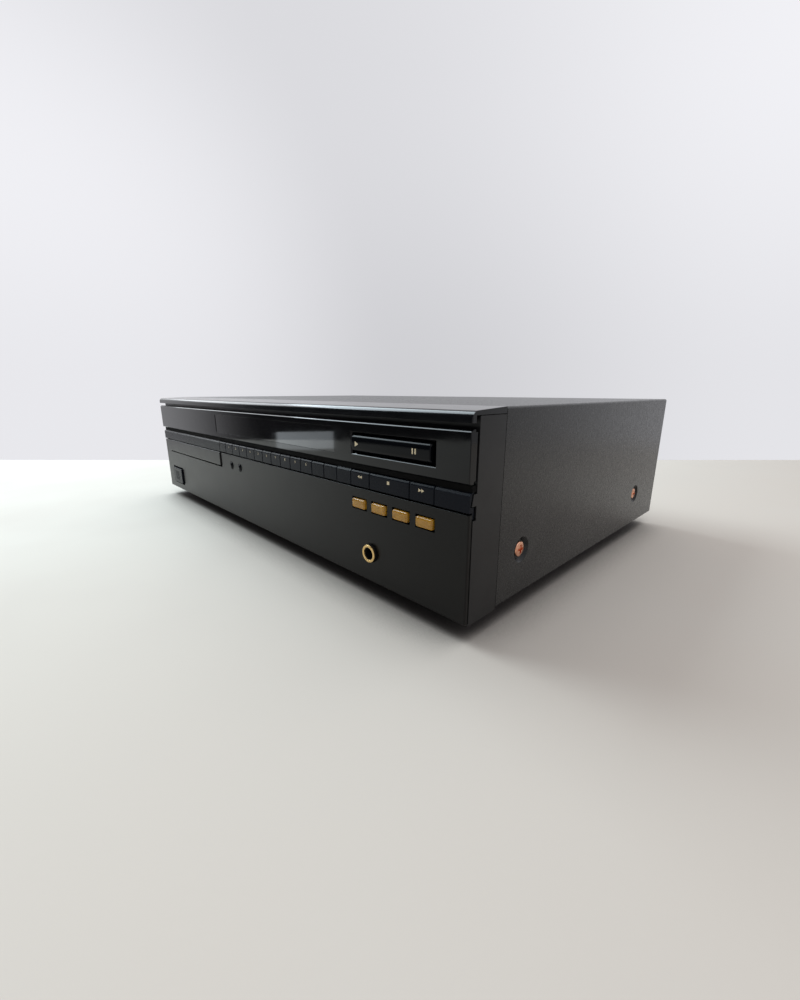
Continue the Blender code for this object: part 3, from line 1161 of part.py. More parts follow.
def make_loader():
    """The loader frame: side walls with rails, the ring under the deck, legs and gear bracket."""
    left, right = LOADER_LEFT, LOADER_RIGHT
    wall_high = LOADER_HIGH
    length = (LOADER_START, LOADER_END)
    loader = blocks("loader_frame", [
        ((left - LOADER_WALL, right + LOADER_WALL), (RING_START, LOADER_END), (RING_LOW, RING_HIGH))])
    carve(loader, blocks("ring_opening", [
        ((left + RING_WIDTH, right - RING_WIDTH), (DECK_FRONT + RING_LAP, DECK_BACK - RING_LAP),
         (RING_LOW - OVERRUN, RING_HIGH + OVERRUN))]))
    post = CLAMP_POST_SIZE / 2
    post_front, post_back = CLAMP_HINGE_DEPTH - post, CLAMP_HINGE_DEPTH + post
    post_top = CLAMP_HINGE_HEIGHT + post
    low = RING_HIGH - SINK
    side = [(length[0], low), (length[1], low), (length[1], wall_high), (post_back, wall_high),
            (post_back, post_top), (post_front, post_top), (post_front, wall_high), (length[0], wall_high)]
    weld(loader, plate("loader_wall_left", [side], "X", (left - LOADER_WALL, left)))
    weld(loader, plate("loader_wall_right", [side], "X", (right, right + LOADER_WALL)))
    rail_top = TRAY_LOW - SEAT
    rail_span = (rail_top - RAIL_THICK, rail_top)
    weld(loader, blocks("lower_rails", [
        ((left - SINK, left + RAIL_REACH), length, rail_span),
        ((TRAY_RIGHT - RAIL_REACH, right + SINK), length, rail_span),
    ]))
    weld(loader, blocks("upper_rails", [
        ((left - SINK, TRAY_LEFT + RAIL_THICK), length, (wall_high - RAIL_THICK, wall_high)),
        ((TRAY_RIGHT - RAIL_THICK, right + SINK), length, (wall_high - RAIL_THICK, wall_high)),
    ]))
    leg_top = RING_LOW + SINK
    leg_fronts = (RING_START, LOADER_END - LEG_SIZE)
    weld(loader, blocks("loader_legs", [
        ((x, x + LEG_SIZE), (d, d + LEG_SIZE), (BASE_HIGH + SEAT, leg_top))
        for x in (left - LOADER_WALL, right + LOADER_WALL - LEG_SIZE) for d in leg_fronts]))
    weld(loader, blocks("gear_bracket", [
        ((right + LOADER_WALL - SINK, BRACKET_RIGHT),
         (PINION_DEPTH - BRACKET_HALF, PINION_DEPTH + BRACKET_HALF), (BRACKET_LOW, BRACKET_TOP))]))
    sill, beyond = BRACKET_TOP + SINK, right + LOADER_WALL + OVERRUN
    notch_left = PINION_X - PULLEY_RADIUS - 2 * SEAT
    window = [(notch_left, sill), (beyond, sill), (beyond, wall_high - RAIL_THICK - SINK),
              (right - SINK, wall_high - RAIL_THICK - SINK), (right - SINK, rail_top + SEAT),
              (notch_left, rail_top + SEAT)]
    reach = PULLEY_RADIUS + GEAR_WINDOW_MARGIN
    carve(loader, plate("gear_window", [window], "Y", (PINION_DEPTH - reach, PINION_DEPTH + reach)))
    weld(loader, rods("gear_pin", "Z", [(PINION_X, PINION_DEPTH)], (BRACKET_LOW + SINK, PINION_HIGH),
                      PIN_RADIUS))
    carve(loader, rods("motor_shaft_hole", "Z", [(MOTOR_X, PINION_DEPTH)],
                       (BRACKET_LOW - OVERRUN, BRACKET_TOP + OVERRUN), MOTOR_PULLEY_RADIUS))
    carve(loader, rods("clamp_post_holes", "X", [(CLAMP_HINGE_DEPTH, CLAMP_HINGE_HEIGHT)],
                       (left - LOADER_WALL - OVERRUN, right + LOADER_WALL + OVERRUN),
                       CLAMP_ROD_RADIUS + SEAT))
    finish(loader, "loader_plastic")


def make_deck():
    """The rising deck with its spindle motor, the turntable and the pickup arm."""
    deck = blocks("mechanism_deck", [
        ((DISC_X - DECK_SIDE, DISC_X + DECK_SIDE), (DECK_FRONT, DECK_BACK), (DECK_LOW, DECK_TOP))])
    weld(deck, rods("spindle_motor", "Z", [(DISC_X, DISC_DEPTH)], (DECK_TOP - SINK, SPINDLE_MOTOR_HIGH),
                    SPINDLE_MOTOR_RADIUS, sides=FINE_SIDES))
    carve(deck, rods("spindle_bearing", "Z", [(DISC_X, DISC_DEPTH)],
                     (TABLE_SHAFT_LOW - SEAT, SPINDLE_MOTOR_HIGH + OVERRUN), TABLE_SHAFT_RADIUS + PIN_GAP))
    weld(deck, rods("arm_pin", "Z", [(ARM_PIVOT_X, ARM_PIVOT_DEPTH)],
                    (DECK_TOP - SINK, DECK_TOP + SEAT + ARM_THICK), ARM_PIN_RADIUS))
    finish(deck, "deck_metal")
    table_low = SPINDLE_MOTOR_HIGH + SEAT
    chamfer = TABLE_HUB_HIGH - TABLE_TOP
    profile = [
        (0, TABLE_HUB_HIGH), (TABLE_HUB_RADIUS - chamfer, TABLE_HUB_HIGH), (TABLE_HUB_RADIUS, TABLE_TOP),
        (TABLE_RADIUS, TABLE_TOP), (TABLE_RADIUS, table_low), (TABLE_SHAFT_RADIUS, table_low),
        (TABLE_SHAFT_RADIUS, TABLE_SHAFT_LOW), (0, TABLE_SHAFT_LOW),
    ]
    table = turned("turntable", "Z", (DISC_X, DISC_DEPTH), profile, FINE_SIDES)
    finish(table, "gear_plastic")
    make_arm()


def make_arm():
    """The pickup arm: a tapered bar from its pivot to the lens housing."""
    low = DECK_TOP + SEAT
    direction = Vector((math.cos(ARM_START_ANGLE), math.sin(ARM_START_ANGLE)))
    pivot_place = Vector((ARM_PIVOT_X, ARM_PIVOT_DEPTH))
    lens_place = pivot_place + direction * ARM_REACH
    quarter = math.pi / 2
    points = arc(pivot_place, ARM_BOSS_RADIUS, ARM_START_ANGLE + quarter, ARM_START_ANGLE + 3 * quarter,
                 ROUND_SIDES // 2)
    side = Vector((-direction.y, direction.x)) * ARM_HALF_WIDTH
    shoulder = pivot_place + direction * ARM_BOSS_RADIUS * 2
    points += [tuple(corner) for corner in (shoulder - side, lens_place - side, lens_place + side,
                                            shoulder + side)]
    arm = plate("swing_arm", [points], "Z", (low, low + ARM_THICK))
    lens_low = LENS_HIGH - LENS_PROUD
    weld(arm, rods("lens_housing", "Z", [tuple(lens_place)], (low, lens_low), LENS_HOUSING_RADIUS))
    weld(arm, rods("lens", "Z", [tuple(lens_place)], (lens_low - SINK, LENS_HIGH), LENS_RADIUS))
    carve(arm, rods("arm_bore", "Z", [tuple(pivot_place)], (low - OVERRUN, low + ARM_THICK + OVERRUN),
                    ARM_PIN_RADIUS + PIN_GAP))
    pivot(arm, ARM_PIVOT_X, ARM_PIVOT_DEPTH, low)
    finish(arm, "deck_metal")


def make_clamp():
    """The disc clamp: a bridge hinged behind the disc, and the puck that hangs in it."""
    plate_high = CLAMP_LOW + CLAMP_THICK
    end = CLAMP_HINGE_DEPTH
    half, wide = CLAMP_HALF_WIDTH, CLAMP_WIDE_HALF
    outline = arc((DISC_X, DISC_DEPTH), half, math.pi, math.tau, FINE_SIDES // 2)
    outline += [(DISC_X + half, CLAMP_WIDE_START - half), (DISC_X + wide, CLAMP_WIDE_START),
                (DISC_X + wide, end), (DISC_X - wide, end), (DISC_X - wide, CLAMP_WIDE_START),
                (DISC_X - half, CLAMP_WIDE_START - half)]
    bridge = plate("clamp_bridge", [outline], "Z", (CLAMP_LOW, plate_high))
    rod_span = (LOADER_LEFT - LOADER_WALL + SEAT, LOADER_RIGHT + LOADER_WALL - SEAT)
    weld(bridge, rods("clamp_rod", "X", [(CLAMP_HINGE_DEPTH, CLAMP_HINGE_HEIGHT)], rod_span,
                      CLAMP_ROD_RADIUS))
    carve(bridge, rods("clamp_hole", "Z", [(DISC_X, DISC_DEPTH)],
                       (CLAMP_LOW - OVERRUN, plate_high + OVERRUN), CLAMP_HOLE_RADIUS))
    pivot(bridge, DISC_X, CLAMP_HINGE_DEPTH, CLAMP_HINGE_HEIGHT)
    finish(bridge, "zinc_steel")
    seat = plate_high + SEAT
    top = seat + PUCK_FLANGE
    dish = PUCK_BOTTOM + PUCK_FLANGE
    profile = [
        (0, top), (PUCK_RADIUS, top), (PUCK_RADIUS, seat), (PUCK_NECK_RADIUS, seat),
        (PUCK_NECK_RADIUS, PUCK_BOTTOM + PUCK_FLANGE), (PUCK_RADIUS, PUCK_BOTTOM + PUCK_FLANGE),
        (PUCK_RADIUS, PUCK_BOTTOM), (PUCK_DISH_RADIUS, PUCK_BOTTOM), (PUCK_DISH_RADIUS, dish), (0, dish),
    ]
    puck = turned("clamp_puck", "Z", (DISC_X, DISC_DEPTH), profile, FINE_SIDES)
    finish(puck, "loader_plastic")


def make_base():
    """The base pan with its side flanges and standoffs, the rear panel and the feet."""
    reach = BASE_HALF
    end = REAR_INNER - SEAT
    base = blocks("chassis_base", [((-reach, reach), (BASE_START, end), (BASE_LOW, BASE_HIGH))])
    flange_start = COVER_START + REBATE_DEPTH
    weld(base, blocks("base_flanges", [
        ((reach - BASE_SHEET, reach), (flange_start, end), (BASE_HIGH - SINK, BASE_FLANGE_HIGH)),
        ((-reach, BASE_SHEET - reach), (flange_start, end), (BASE_HIGH - SINK, BASE_FLANGE_HIGH)),
    ]))
    half = STANDOFF_SIZE / 2
    weld(base, blocks("standoffs", [
        ((x - half, x + half), (d - half, d + half), (BASE_HIGH - SINK, MAIN_LOW - SEAT))
        for x in (MAIN_LEFT + MAIN_INSET, MAIN_RIGHT - MAIN_INSET)
        for d in (MAIN_FRONT + MAIN_INSET, MAIN_BACK - MAIN_INSET)]))
    places = [(depth, SCREW_HEIGHT) for depth in SCREW_DEPTHS]
    carve(base, rods("flange_holes", "X", places, (-reach - OVERRUN, reach + OVERRUN), SCREW_HOLE_RADIUS))
    finish(base, "zinc_steel")
    rear = blocks("rear_panel", [((-reach, reach), (REAR_INNER, REAR_FACE), (BASE_LOW, REAR_HIGH))])
    through = (REAR_INNER - OVERRUN, REAR_FACE + OVERRUN)
    carve(rear, rods("socket_holes", "Y", [(x, SOCKET_HEIGHT) for x in SOCKET_PLACES], through,
                     SOCKET_RADIUS + SEAT))
    body_half, body_tall = INLET_BODY_WIDTH / 2 + SEAT, INLET_BODY_HEIGHT / 2 + SEAT
    openings = [((INLET_X - body_half, INLET_X + body_half), through,
                 (INLET_HEIGHT - body_tall, INLET_HEIGHT + body_tall))]
    for slot in range(VENT_COUNT):
        left = VENT_FIRST + slot * VENT_PITCH
        openings.append(((left, left + VENT_WIDTH), through, (VENT_LOW, VENT_LOW + VENT_HEIGHT)))
    carve(rear, blocks("rear_openings", openings))
    finish(rear, "textured_paint")
    foot_top = BASE_LOW - SEAT
    number = 0
    for depth in FOOT_DEPTHS:
        for across in (-FOOT_X, FOOT_X):
            number += 1
            profile = [(0, foot_top), (FOOT_RADIUS, foot_top), (FOOT_RADIUS, foot_top - FOOT_CHAMFER),
                       (FOOT_BASE_RADIUS, FOOT_CHAMFER - FOOT_HEIGHT),
                       (FOOT_BASE_RADIUS - FOOT_CHAMFER, -FOOT_HEIGHT), (0, -FOOT_HEIGHT)]
            foot = turned(f"foot_{number}", "Z", (across, depth), profile)
            finish(foot, "foot_rubber")


def make_electronics():
    """The main board with its parts, and the mains transformer."""
    board_top = MAIN_LOW + BOARD_THICK
    board = blocks("main_board", [
        ((MAIN_LEFT, MAIN_RIGHT), (MAIN_FRONT, MAIN_BACK), (MAIN_LOW, board_top))])
    middle = (MAIN_LEFT + MAIN_RIGHT) / 2
    parts = []
    depth = MAIN_FRONT + 2 * MAIN_INSET
    for size in CHIP_SIZES:
        parts.append(((middle - size / 2, middle + size / 2), (depth, depth + CHIP_LENGTH),
                      (board_top - SINK, board_top + CHIP_HEIGHT)))
        depth += CHIP_LENGTH + 2 * MAIN_INSET
    weld(board, blocks("board_chips", parts))
    sink_x, sink_back = MAIN_RIGHT - 2 * MAIN_INSET, MAIN_BACK - MAIN_INSET
    weld(board, blocks("board_heatsink", [
        ((sink_x, sink_x + HEATSINK_THICK), (sink_back - HEATSINK_LENGTH, sink_back),
         (board_top - SINK, board_top + HEATSINK_HEIGHT))]))
    caps = [(MAIN_LEFT + 2 * MAIN_INSET + i * CAP_PITCH, MAIN_BACK - CAP_PITCH) for i in range(CAP_COUNT)]
    weld(board, rods("board_capacitors", "Z", caps, (board_top - SINK, board_top + CAP_HEIGHT), CAP_RADIUS,
                     sides=ROUND_SIDES // 2))
    finish(board, "board_laminate")
    low = BASE_HIGH + SEAT
    half_width, half_length = TRANSFORMER_WIDTH / 2, TRANSFORMER_LENGTH / 2
    core = blocks("power_transformer", [
        ((TRANSFORMER_X - half_width, TRANSFORMER_X + half_width),
         (TRANSFORMER_DEPTH - half_length, TRANSFORMER_DEPTH + half_length),
         (low, low + TRANSFORMER_HEIGHT))])
    grown = half_length + BOBBIN_GROWTH
    weld(core, blocks("bobbin", [
        ((TRANSFORMER_X - half_width + BOBBIN_INSET, TRANSFORMER_X + half_width - BOBBIN_INSET),
         (TRANSFORMER_DEPTH - grown, TRANSFORMER_DEPTH + grown),
         (low + BOBBIN_INSET, low + TRANSFORMER_HEIGHT - BOBBIN_INSET))]))
    flange = half_width + TRANSFORMER_FLANGE
    weld(core, blocks("transformer_flange", [
        ((TRANSFORMER_X - flange, TRANSFORMER_X + flange),
         (TRANSFORMER_DEPTH - half_length + SINK, TRANSFORMER_DEPTH + half_length - SINK),
         (low, low + TRANSFORMER_FLANGE_THICK))]))
    finish(core, "core_steel")


def make_rear_sockets():
    """The audio sockets and the two-pin mains inlet."""
    first, last = SOCKET_PLACES
    margin = SOCKET_BLOCK_MARGIN
    inner = REAR_INNER - SEAT
    sockets = blocks("audio_sockets", [
        ((first - margin, last + margin), (inner - SOCKET_BLOCK_LENGTH, inner),
         (SOCKET_HEIGHT - margin, SOCKET_HEIGHT + margin))])
    places = [(x, SOCKET_HEIGHT) for x in SOCKET_PLACES]
    tip = DEPTH + SOCKET_REACH
    weld(sockets, rods("socket_barrels", "Y", places, (inner - SINK, tip), SOCKET_RADIUS))
    carve(sockets, rods("socket_bores", "Y", places, (inner, tip + OVERRUN), SOCKET_PIN_RADIUS,
                        sides=ROUND_SIDES // 2))
    finish(sockets, "gold_metal")
    half_width, half_height = INLET_BODY_WIDTH / 2, INLET_BODY_HEIGHT / 2
    flange_start = REAR_FACE + SEAT
    face = DEPTH
    inlet = blocks("mains_inlet", [
        ((INLET_X - half_width, INLET_X + half_width), (face - INLET_LENGTH, flange_start + SINK),
         (INLET_HEIGHT - half_height, INLET_HEIGHT + half_height))])
    wide, tall = half_width + INLET_FLANGE, half_height + INLET_FLANGE
    weld(inlet, blocks("inlet_flange", [
        ((INLET_X - wide, INLET_X + wide), (flange_start, face),
         (INLET_HEIGHT - tall, INLET_HEIGHT + tall))]))
    recess_half, recess_tall = half_width - INLET_WALL, half_height - INLET_SIDE_WALL
    floor = face - INLET_RECESS
    carve(inlet, blocks("inlet_recess", [
        ((INLET_X - recess_half, INLET_X + recess_half), (floor, face + OVERRUN),
         (INLET_HEIGHT - recess_tall, INLET_HEIGHT + recess_tall))]))
    pins = [(INLET_X + side * INLET_PIN_PLACE, INLET_HEIGHT) for side in (-1, 1)]
    weld(inlet, rods("inlet_pins", "Y", pins, (floor - SINK, floor + INLET_PIN_LENGTH), INLET_PIN_RADIUS,
                     sides=ROUND_SIDES // 2))
    finish(inlet, "frame_plastic")


for old in list(bpy.data.objects):
    bpy.data.objects.remove(old, do_unlink=True)
PARTS = new_collection("cd_player")
TOOLS = new_collection("cd_player_tools")

make_cover()
make_screws()
make_lower_panel()
make_fascia()
make_play_pause_bar()
make_trim()
make_front_frame()
make_keys()
make_key_strip()
make_buttons()
make_jack()
make_display_and_key_board()
make_tray()
make_drive()
make_loader()
make_deck()
make_clamp()
make_base()
make_electronics()
make_rear_sockets()
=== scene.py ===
"""The disc player's looks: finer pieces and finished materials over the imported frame."""

import json
import math

import bmesh
import bpy
from mathutils import Matrix, Vector


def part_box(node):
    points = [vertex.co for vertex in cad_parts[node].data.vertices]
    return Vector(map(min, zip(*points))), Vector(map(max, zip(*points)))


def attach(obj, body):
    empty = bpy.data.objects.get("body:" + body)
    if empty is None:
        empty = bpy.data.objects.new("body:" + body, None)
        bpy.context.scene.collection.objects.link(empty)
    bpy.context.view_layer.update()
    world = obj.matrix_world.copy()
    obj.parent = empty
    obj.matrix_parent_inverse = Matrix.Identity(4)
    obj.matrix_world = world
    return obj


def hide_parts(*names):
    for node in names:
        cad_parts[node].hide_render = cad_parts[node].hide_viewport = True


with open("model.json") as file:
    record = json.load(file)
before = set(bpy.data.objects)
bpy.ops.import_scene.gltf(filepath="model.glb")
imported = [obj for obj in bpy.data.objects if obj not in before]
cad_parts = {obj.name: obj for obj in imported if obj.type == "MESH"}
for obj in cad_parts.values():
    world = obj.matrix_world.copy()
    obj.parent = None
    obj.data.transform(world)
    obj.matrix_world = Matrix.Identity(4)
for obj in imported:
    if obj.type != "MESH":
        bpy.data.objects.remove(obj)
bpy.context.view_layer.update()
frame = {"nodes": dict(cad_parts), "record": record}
BODY_OF = {node: body for body, nodes in frame["record"]["behaviour"]["bodies"].items()
           for node in nodes}
MM = 0.001

# Rounding of edges
FINE_EDGE = 0.15 * MM
SOFT_EDGE = 0.3 * MM
PANEL_EDGE = 0.7 * MM
PANEL_TOP_EDGE = 0.25 * MM
PANEL_STEPS = 4
END_STEPS = 3
EDGE_ANGLE = math.radians(32)
SMOOTH_ANGLE = math.radians(38)
FLAT_ANGLE = math.radians(0.6)
WELD = 0.002 * MM
ROUND_SIDES = 96
SMALL_SIDES = 48
QUARTER = [i * math.pi / 8 for i in range(5)]

# How far a cutting tool reaches past what it cuts, and how far one piece is sunk in another
OVERRUN = 2 * MM
SINK = 0.2 * MM

# Front
FASCIA_ROUND = 1.1 * MM
FASCIA_LOW_ROUND = 0.5 * MM
FASCIA_END = 0.3 * MM
FASCIA_BACK = 3.0 * MM
FASCIA_RETURN_WALL = 2.2 * MM
SEAT = 0.3 * MM
SEAM = 0.05 * MM
PLAY_GAP = 0.45 * MM
PLAY_RIGHT_GAP = 2.2 * MM
PLAY_CHAMFER = 0.7 * MM
PLAY_THICK = 3.5 * MM
PLAY_ROUND = 3.4 * MM
PLAY_LOW_ROUND = 0.6 * MM
PLAY_STEPS = 8
TRIM_ROUND = 3.4 * MM
TRIM_POINTS = 12
TRIM_FRONT_DROP = 1.1 * MM
TRIM_LIP_THICK = 2.6 * MM
TRIM_SKIRT = 3 * MM
TRIM_CORNER = 0.35 * MM

# Keys and buttons
NUMBER_KEYS = [f"number_key_{n}" for n in range(10)]
OTHER_KEYS = ["open_close_key", "program_key", "repeat_key", "search_back_key", "stop_key",
              "search_forward_key"]
AMBER_KEYS = [f"amber_key_{n}" for n in (1, 2, 3, 4)]
KEY_SEAM = 0.3 * MM
KEY_EDGE = 0.3 * MM
TRAY_GAP = 1.2 * MM
AMBER_GAP = 0.8 * MM
AMBER_THICK = 3.0 * MM
AMBER_ROUND = 1.2 * MM
AMBER_STEM_HALF = 1.7 * MM
ROUND_GAP = 0.4 * MM
ROUND_RADIUS = 3.0 * MM
ROUND_DOME = 1.1 * MM
ROUND_DOME_SHAPE = ((0, 0), (0.4, 0.16), (0.7, 0.5))  # parts of the radius and of the dome
ROUND_EDGE = 0.45 * MM
ROUND_BACK = 3.0 * MM
ROUND_STEM = 1.5 * MM
POWER_GAP = 1.4 * MM
POWER_ROUND = 0.7 * MM
POWER_BACK = 2.2 * MM
GROOVE_COUNT = 5
GROOVE_WIDTH = 0.9 * MM
GROOVE_DEPTH = 0.6 * MM
GROOVE_PITCH = 2.4 * MM
GROOVE_INSET = 3.2 * MM

# Headphone jack
JACK_RADIUS = 5.05 * MM
JACK_BORE = 3.3 * MM
JACK_RING_BORE = 3.6 * MM
JACK_RING_DEPTH = 0.9 * MM
JACK_LIP = 0.35 * MM
JACK_SLEEVE_RADIUS = 5.0 * MM
JACK_BODY_START = 6.9 * MM

# Marks; heights are from the lower panel's lower edge
MARK_THICK = 0.05 * MM
MARK_DROP = 3.2 * MM
DIGIT_SIZE = 2.3 * MM
TRIANGLE = 1.7 * MM
TRIANGLE_SHIFT = 0.55 * TRIANGLE
PLAY_MARK_X = 136.1 * MM
PLAY_MARK_HEIGHT = 76.8 * MM
PLAY_MARK_SIZE = 2.8 * MM
PAUSE_BARS = (176.9 * MM, 178.7 * MM)
PAUSE_WIDTH = 0.8 * MM
PAUSE_LOW = 75.8 * MM
PAUSE_HIGH = 78.4 * MM

# Cover and its screws
SHEET = 1.0 * MM
COVER_BEND = 1.5 * MM
BEND_POINTS = 7
DIMPLE_RADIUS = 6.9 * MM
DIMPLE_FLOOR_RADIUS = 5.0 * MM
DIMPLE_DEPTH = 2.3 * MM
SCREW_HOLE_RADIUS = 2.1 * MM
# In mm: (radius, depth behind the head's face)
SCREW_PROFILE = ((0, 0), (1.845, 0.08), (3.075, 0.28), (3.88, 0.55), (4.1, 0.88), (4.1, 1.5),
                 (1.7, 1.5), (1.7, 10.5), (0, 10.5))
CROSS_WIDTH = 1.3 * MM
CROSS_LENGTH = 4.8 * MM
CROSS_DEPTH = 1.2 * MM
CROSS_EDGE = 0.08 * MM

# Tray
WELL_RADIUS = 61 * MM
SMALL_WELL_RADIUS = 41 * MM
WELL_DEPTH = 5.8 * MM
SMALL_WELL_DEPTH = 7.0 * MM
WELL_CENTRE_DEPTH = 78 * MM
SLOT_RADIUS = 18 * MM
SLOT_POINTS = 32
TRAY_RIGHT_ROOM = 4.6 * MM
TRAY_LEFT_ROOM = 3.6 * MM
TRAY_THICK = 9 * MM

# Feet
FOOT_RADIUS = 18 * MM
FOOT_TOP_ROUND = 0.9 * MM
FOOT_TOP_POINTS = 5
# In mm: (radius, depth below the top), and then (radius, height above the bottom)
FOOT_SIDE = ((17.6, 2.6), (16.9, 3.0), (16.9, 3.6), (17.3, 4.0))
FOOT_BASE = ((15.5, 1.2), (15.1, 0.35), (14.0, 0), (11.0, 0), (10.5, 0.8), (0, 0.8))

# Rear
SOCKET_OFFSET = 8 * MM
SOCKET_RADIUS = 4.2 * MM
SOCKET_RING_RADIUS = 6.4 * MM
SOCKET_RING_HIGH = 1.2 * MM
SOCKET_RING_CHAMFER = 0.48 * MM

# Camera, with its angles in degrees
CAMERA_PLACE = (0.31002, -0.27515, 0.11383)
CAMERA_DIP = 14.676
CAMERA_HEADING = 45.770
CAMERA_LENS = 14.957
CAMERA_SENSOR = 36
CAMERA_CLIP = 0.01

# Floor, measured from below the camera along its heading
FLOOR_FAR = 0.705
FLOOR_NEAR = 0.35
FLOOR_WIDE = 0.8
FLOOR_COLOUR = (0.67, 0.66, 0.60)
# Painted light: this colour and the fade range below darken the floor towards the right, a painted
# falloff of the light from the left
FLOOR_PAINTED_FALLOFF_COLOUR = (0.53, 0.48, 0.425)
FLOOR_CLOUD_COLOUR = (0.55, 0.52, 0.47)
FLOOR_PAINTED_FALLOFF = (-0.12, 0.33)
# Painted shadow: the floor's colour darkens to this near the player, by ambient occlusion
FLOOR_PAINTED_SHADOW = (0.07, 0.062, 0.058)
FLOOR_PAINTED_SHADOW_REACH = 45 * MM
FLOOR_PAINTED_SHADOW_LIMITS = (0.75, 0.3)

# Room: each ramp is (axis of the direction, start, end, level before, level after)
ROOM_COLOUR = (0.96, 0.96, 1.0)
ROOM_OPEN = (("Y", -0.44, -0.26, 0.05, 1.0), ("X", -0.1, 0.4, 0.05, 1.0))
ROOM_LEVELS = (("X", -1.0, -0.72, 0.86, 0.66), ("X", -0.72, -0.05, 1.0, 1.25),
               ("X", 0.2, 0.6, 1.0, 0.62), ("Z", 0.0, 0.5, 0.98, 1.12),
               ("Z", 0.6, 0.95, 1.0, 1.9))

# Lamps: place, what it points at, size, power in watts and colour
LAMPS = {
    "key": ((-1.53, -0.26, 1.67), (0.1, -0.1, 0.1), (1.52, 1.15), 37.0, (0.80, 0.93, 1)),
    "left": ((-2.18, -0.35, 1.11), (0, 0, 0.1), (0.96, 0.8), 7.7, (0.92, 0.97, 1)),
    "low": ((-0.345, -0.400, 0.028), (0.085, -0.13875, 0.086), (0.10, 0.032), 0.017,
            (0.86, 0.94, 1)),
}

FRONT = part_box("lower_panel")[0].y
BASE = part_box("lower_panel")[0].z


def deep(depth):
    """World y of a depth behind the lower panel's face."""
    return FRONT + depth


def up(height):
    """World z of a height above the lower panel's lower edge."""
    return BASE + height


def middle(node):
    low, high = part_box(node)
    return (low + high) / 2


# Shapes

# Where two coordinates across an axis and one along it go in a point
SPREAD = {
    "X": lambda a, b, along: (along, a, b),
    "Y": lambda a, b, along: (a, along, b),
    "Z": lambda a, b, along: (a, b, along),
}


def new_object(name, data):
    made = bpy.data.objects.new(name, data)
    bpy.context.scene.collection.objects.link(made)
    return made


def new_piece(name, shape):
    bmesh.ops.recalc_face_normals(shape, faces=shape.faces)
    mesh = bpy.data.meshes.new(name)
    shape.to_mesh(mesh)
    shape.free()
    return new_object(name, mesh)


def ordered_piece(name, shape):
    """A new piece whose points and faces are put in the order of their places.

    Extruding and repeated bevels leave that order to chance, and booleans go by it, so
    without this a piece could differ a little from run to run."""
    bmesh.ops.recalc_face_normals(shape, faces=shape.faces)
    points = sorted(shape.verts, key=lambda vert: [
        round(value, 7) for value in (vert.co.z, vert.co.x, vert.co.y)])
    rank = {vert: i for i, vert in enumerate(points)}
    loops = []
    for face in shape.faces:
        loop = [rank[vert] for vert in face.verts]
        first = loop.index(min(loop))
        loops.append(loop[first:] + loop[:first])
    mesh = bpy.data.meshes.new(name)
    mesh.from_pydata([vert.co for vert in points], [], sorted(loops))
    shape.free()
    return new_object(name, mesh)


def add_box(shape, low, high):
    place = Matrix.Translation((low + high) / 2) @ Matrix.Diagonal(high - low).to_4x4()
    bmesh.ops.create_cube(shape, size=1, matrix=place)


def extrude(shape, faces, shift):
    grown = bmesh.ops.extrude_face_region(shape, geom=faces)
    moved = [item for item in grown["geom"] if isinstance(item, bmesh.types.BMVert)]
    bmesh.ops.translate(shape, vec=shift, verts=moved)


def bevel(shape, edges, width, segments):
    bmesh.ops.bevel(shape, geom=edges, offset=width, segments=segments, profile=0.5,
                    affect="EDGES")


def boxes(name, spans):
    """Boxes in one mesh; a span is (x range, y range, z range)."""
    shape = bmesh.new()
    for ranges in spans:
        low = Vector([min(pair) for pair in ranges])
        high = Vector([max(pair) for pair in ranges])
        add_box(shape, low, high)
    return new_piece(name, shape)


def prism(name, outline, axis, span):
    """A flat outline extruded along an axis; it holds the other two coordinates in order."""
    spread = SPREAD[axis]
    shape = bmesh.new()
    face = shape.faces.new([shape.verts.new(spread(a, b, span[0])) for a, b in outline])
    extrude(shape, [face], Vector(spread(0, 0, span[1] - span[0])))
    return ordered_piece(name, shape)


def arc(centre, radius, start, end, points):
    """Points on an arc, with both its ends."""
    step = (end - start) / (points - 1)
    angles = [start + i * step for i in range(points)]
    return [(centre[0] + radius * math.cos(a), centre[1] + radius * math.sin(a)) for a in angles]


def lathe(name, axis, centre, profile, sides=ROUND_SIDES):
    """A turned piece; the profile's points are (radius, place along the axis).

    A profile that starts off the axis closes on itself."""
    spread = SPREAD[axis]
    shape = bmesh.new()
    rings = []
    for radius, along in profile:
        angles = [i * math.tau / sides for i in range(sides if radius else 1)]
        rings.append([shape.verts.new(spread(centre[0] + radius * math.cos(a),
                                             centre[1] + radius * math.sin(a), along))
                      for a in angles])
    if profile[0][0] > 0:
        rings.append(rings[0])
    for first, second in zip(rings, rings[1:]):
        for i in range(sides):
            j = (i + 1) % sides
            corners = [first[i % len(first)], first[j % len(first)],
                       second[j % len(second)], second[i % len(second)]]
            unique = list(dict.fromkeys(corners))
            if len(unique) > 2:
                shape.faces.new(unique)
    return new_piece(name, shape)


def drum(name, axis, centre, radius, start, end, sides=ROUND_SIDES):
    """A plain cylinder, to cut with."""
    return lathe(name, axis, centre, [(0, start), (radius, start), (radius, end), (0, end)], sides)


def settle(piece):
    """Apply a piece's modifiers and drop the tools they used."""
    tools = [modifier.object for modifier in piece.modifiers if modifier.type == "BOOLEAN"]
    seen = piece.evaluated_get(bpy.context.evaluated_depsgraph_get())
    mesh = bpy.data.meshes.new_from_object(seen)
    piece.modifiers.clear()
    piece.data = mesh
    for tool in tools:
        bpy.data.objects.remove(tool, do_unlink=True)


def clean(piece, merge=True):
    """Weld a mesh and merge its flat faces, so its edges can be rounded."""
    shape = bmesh.new()
    shape.from_mesh(piece.data)
    bmesh.ops.remove_doubles(shape, verts=shape.verts, dist=WELD)
    if merge:
        bmesh.ops.dissolve_limit(shape, angle_limit=FLAT_ANGLE, verts=shape.verts,
                                 edges=shape.edges)
    shape.to_mesh(piece.data)
    shape.free()


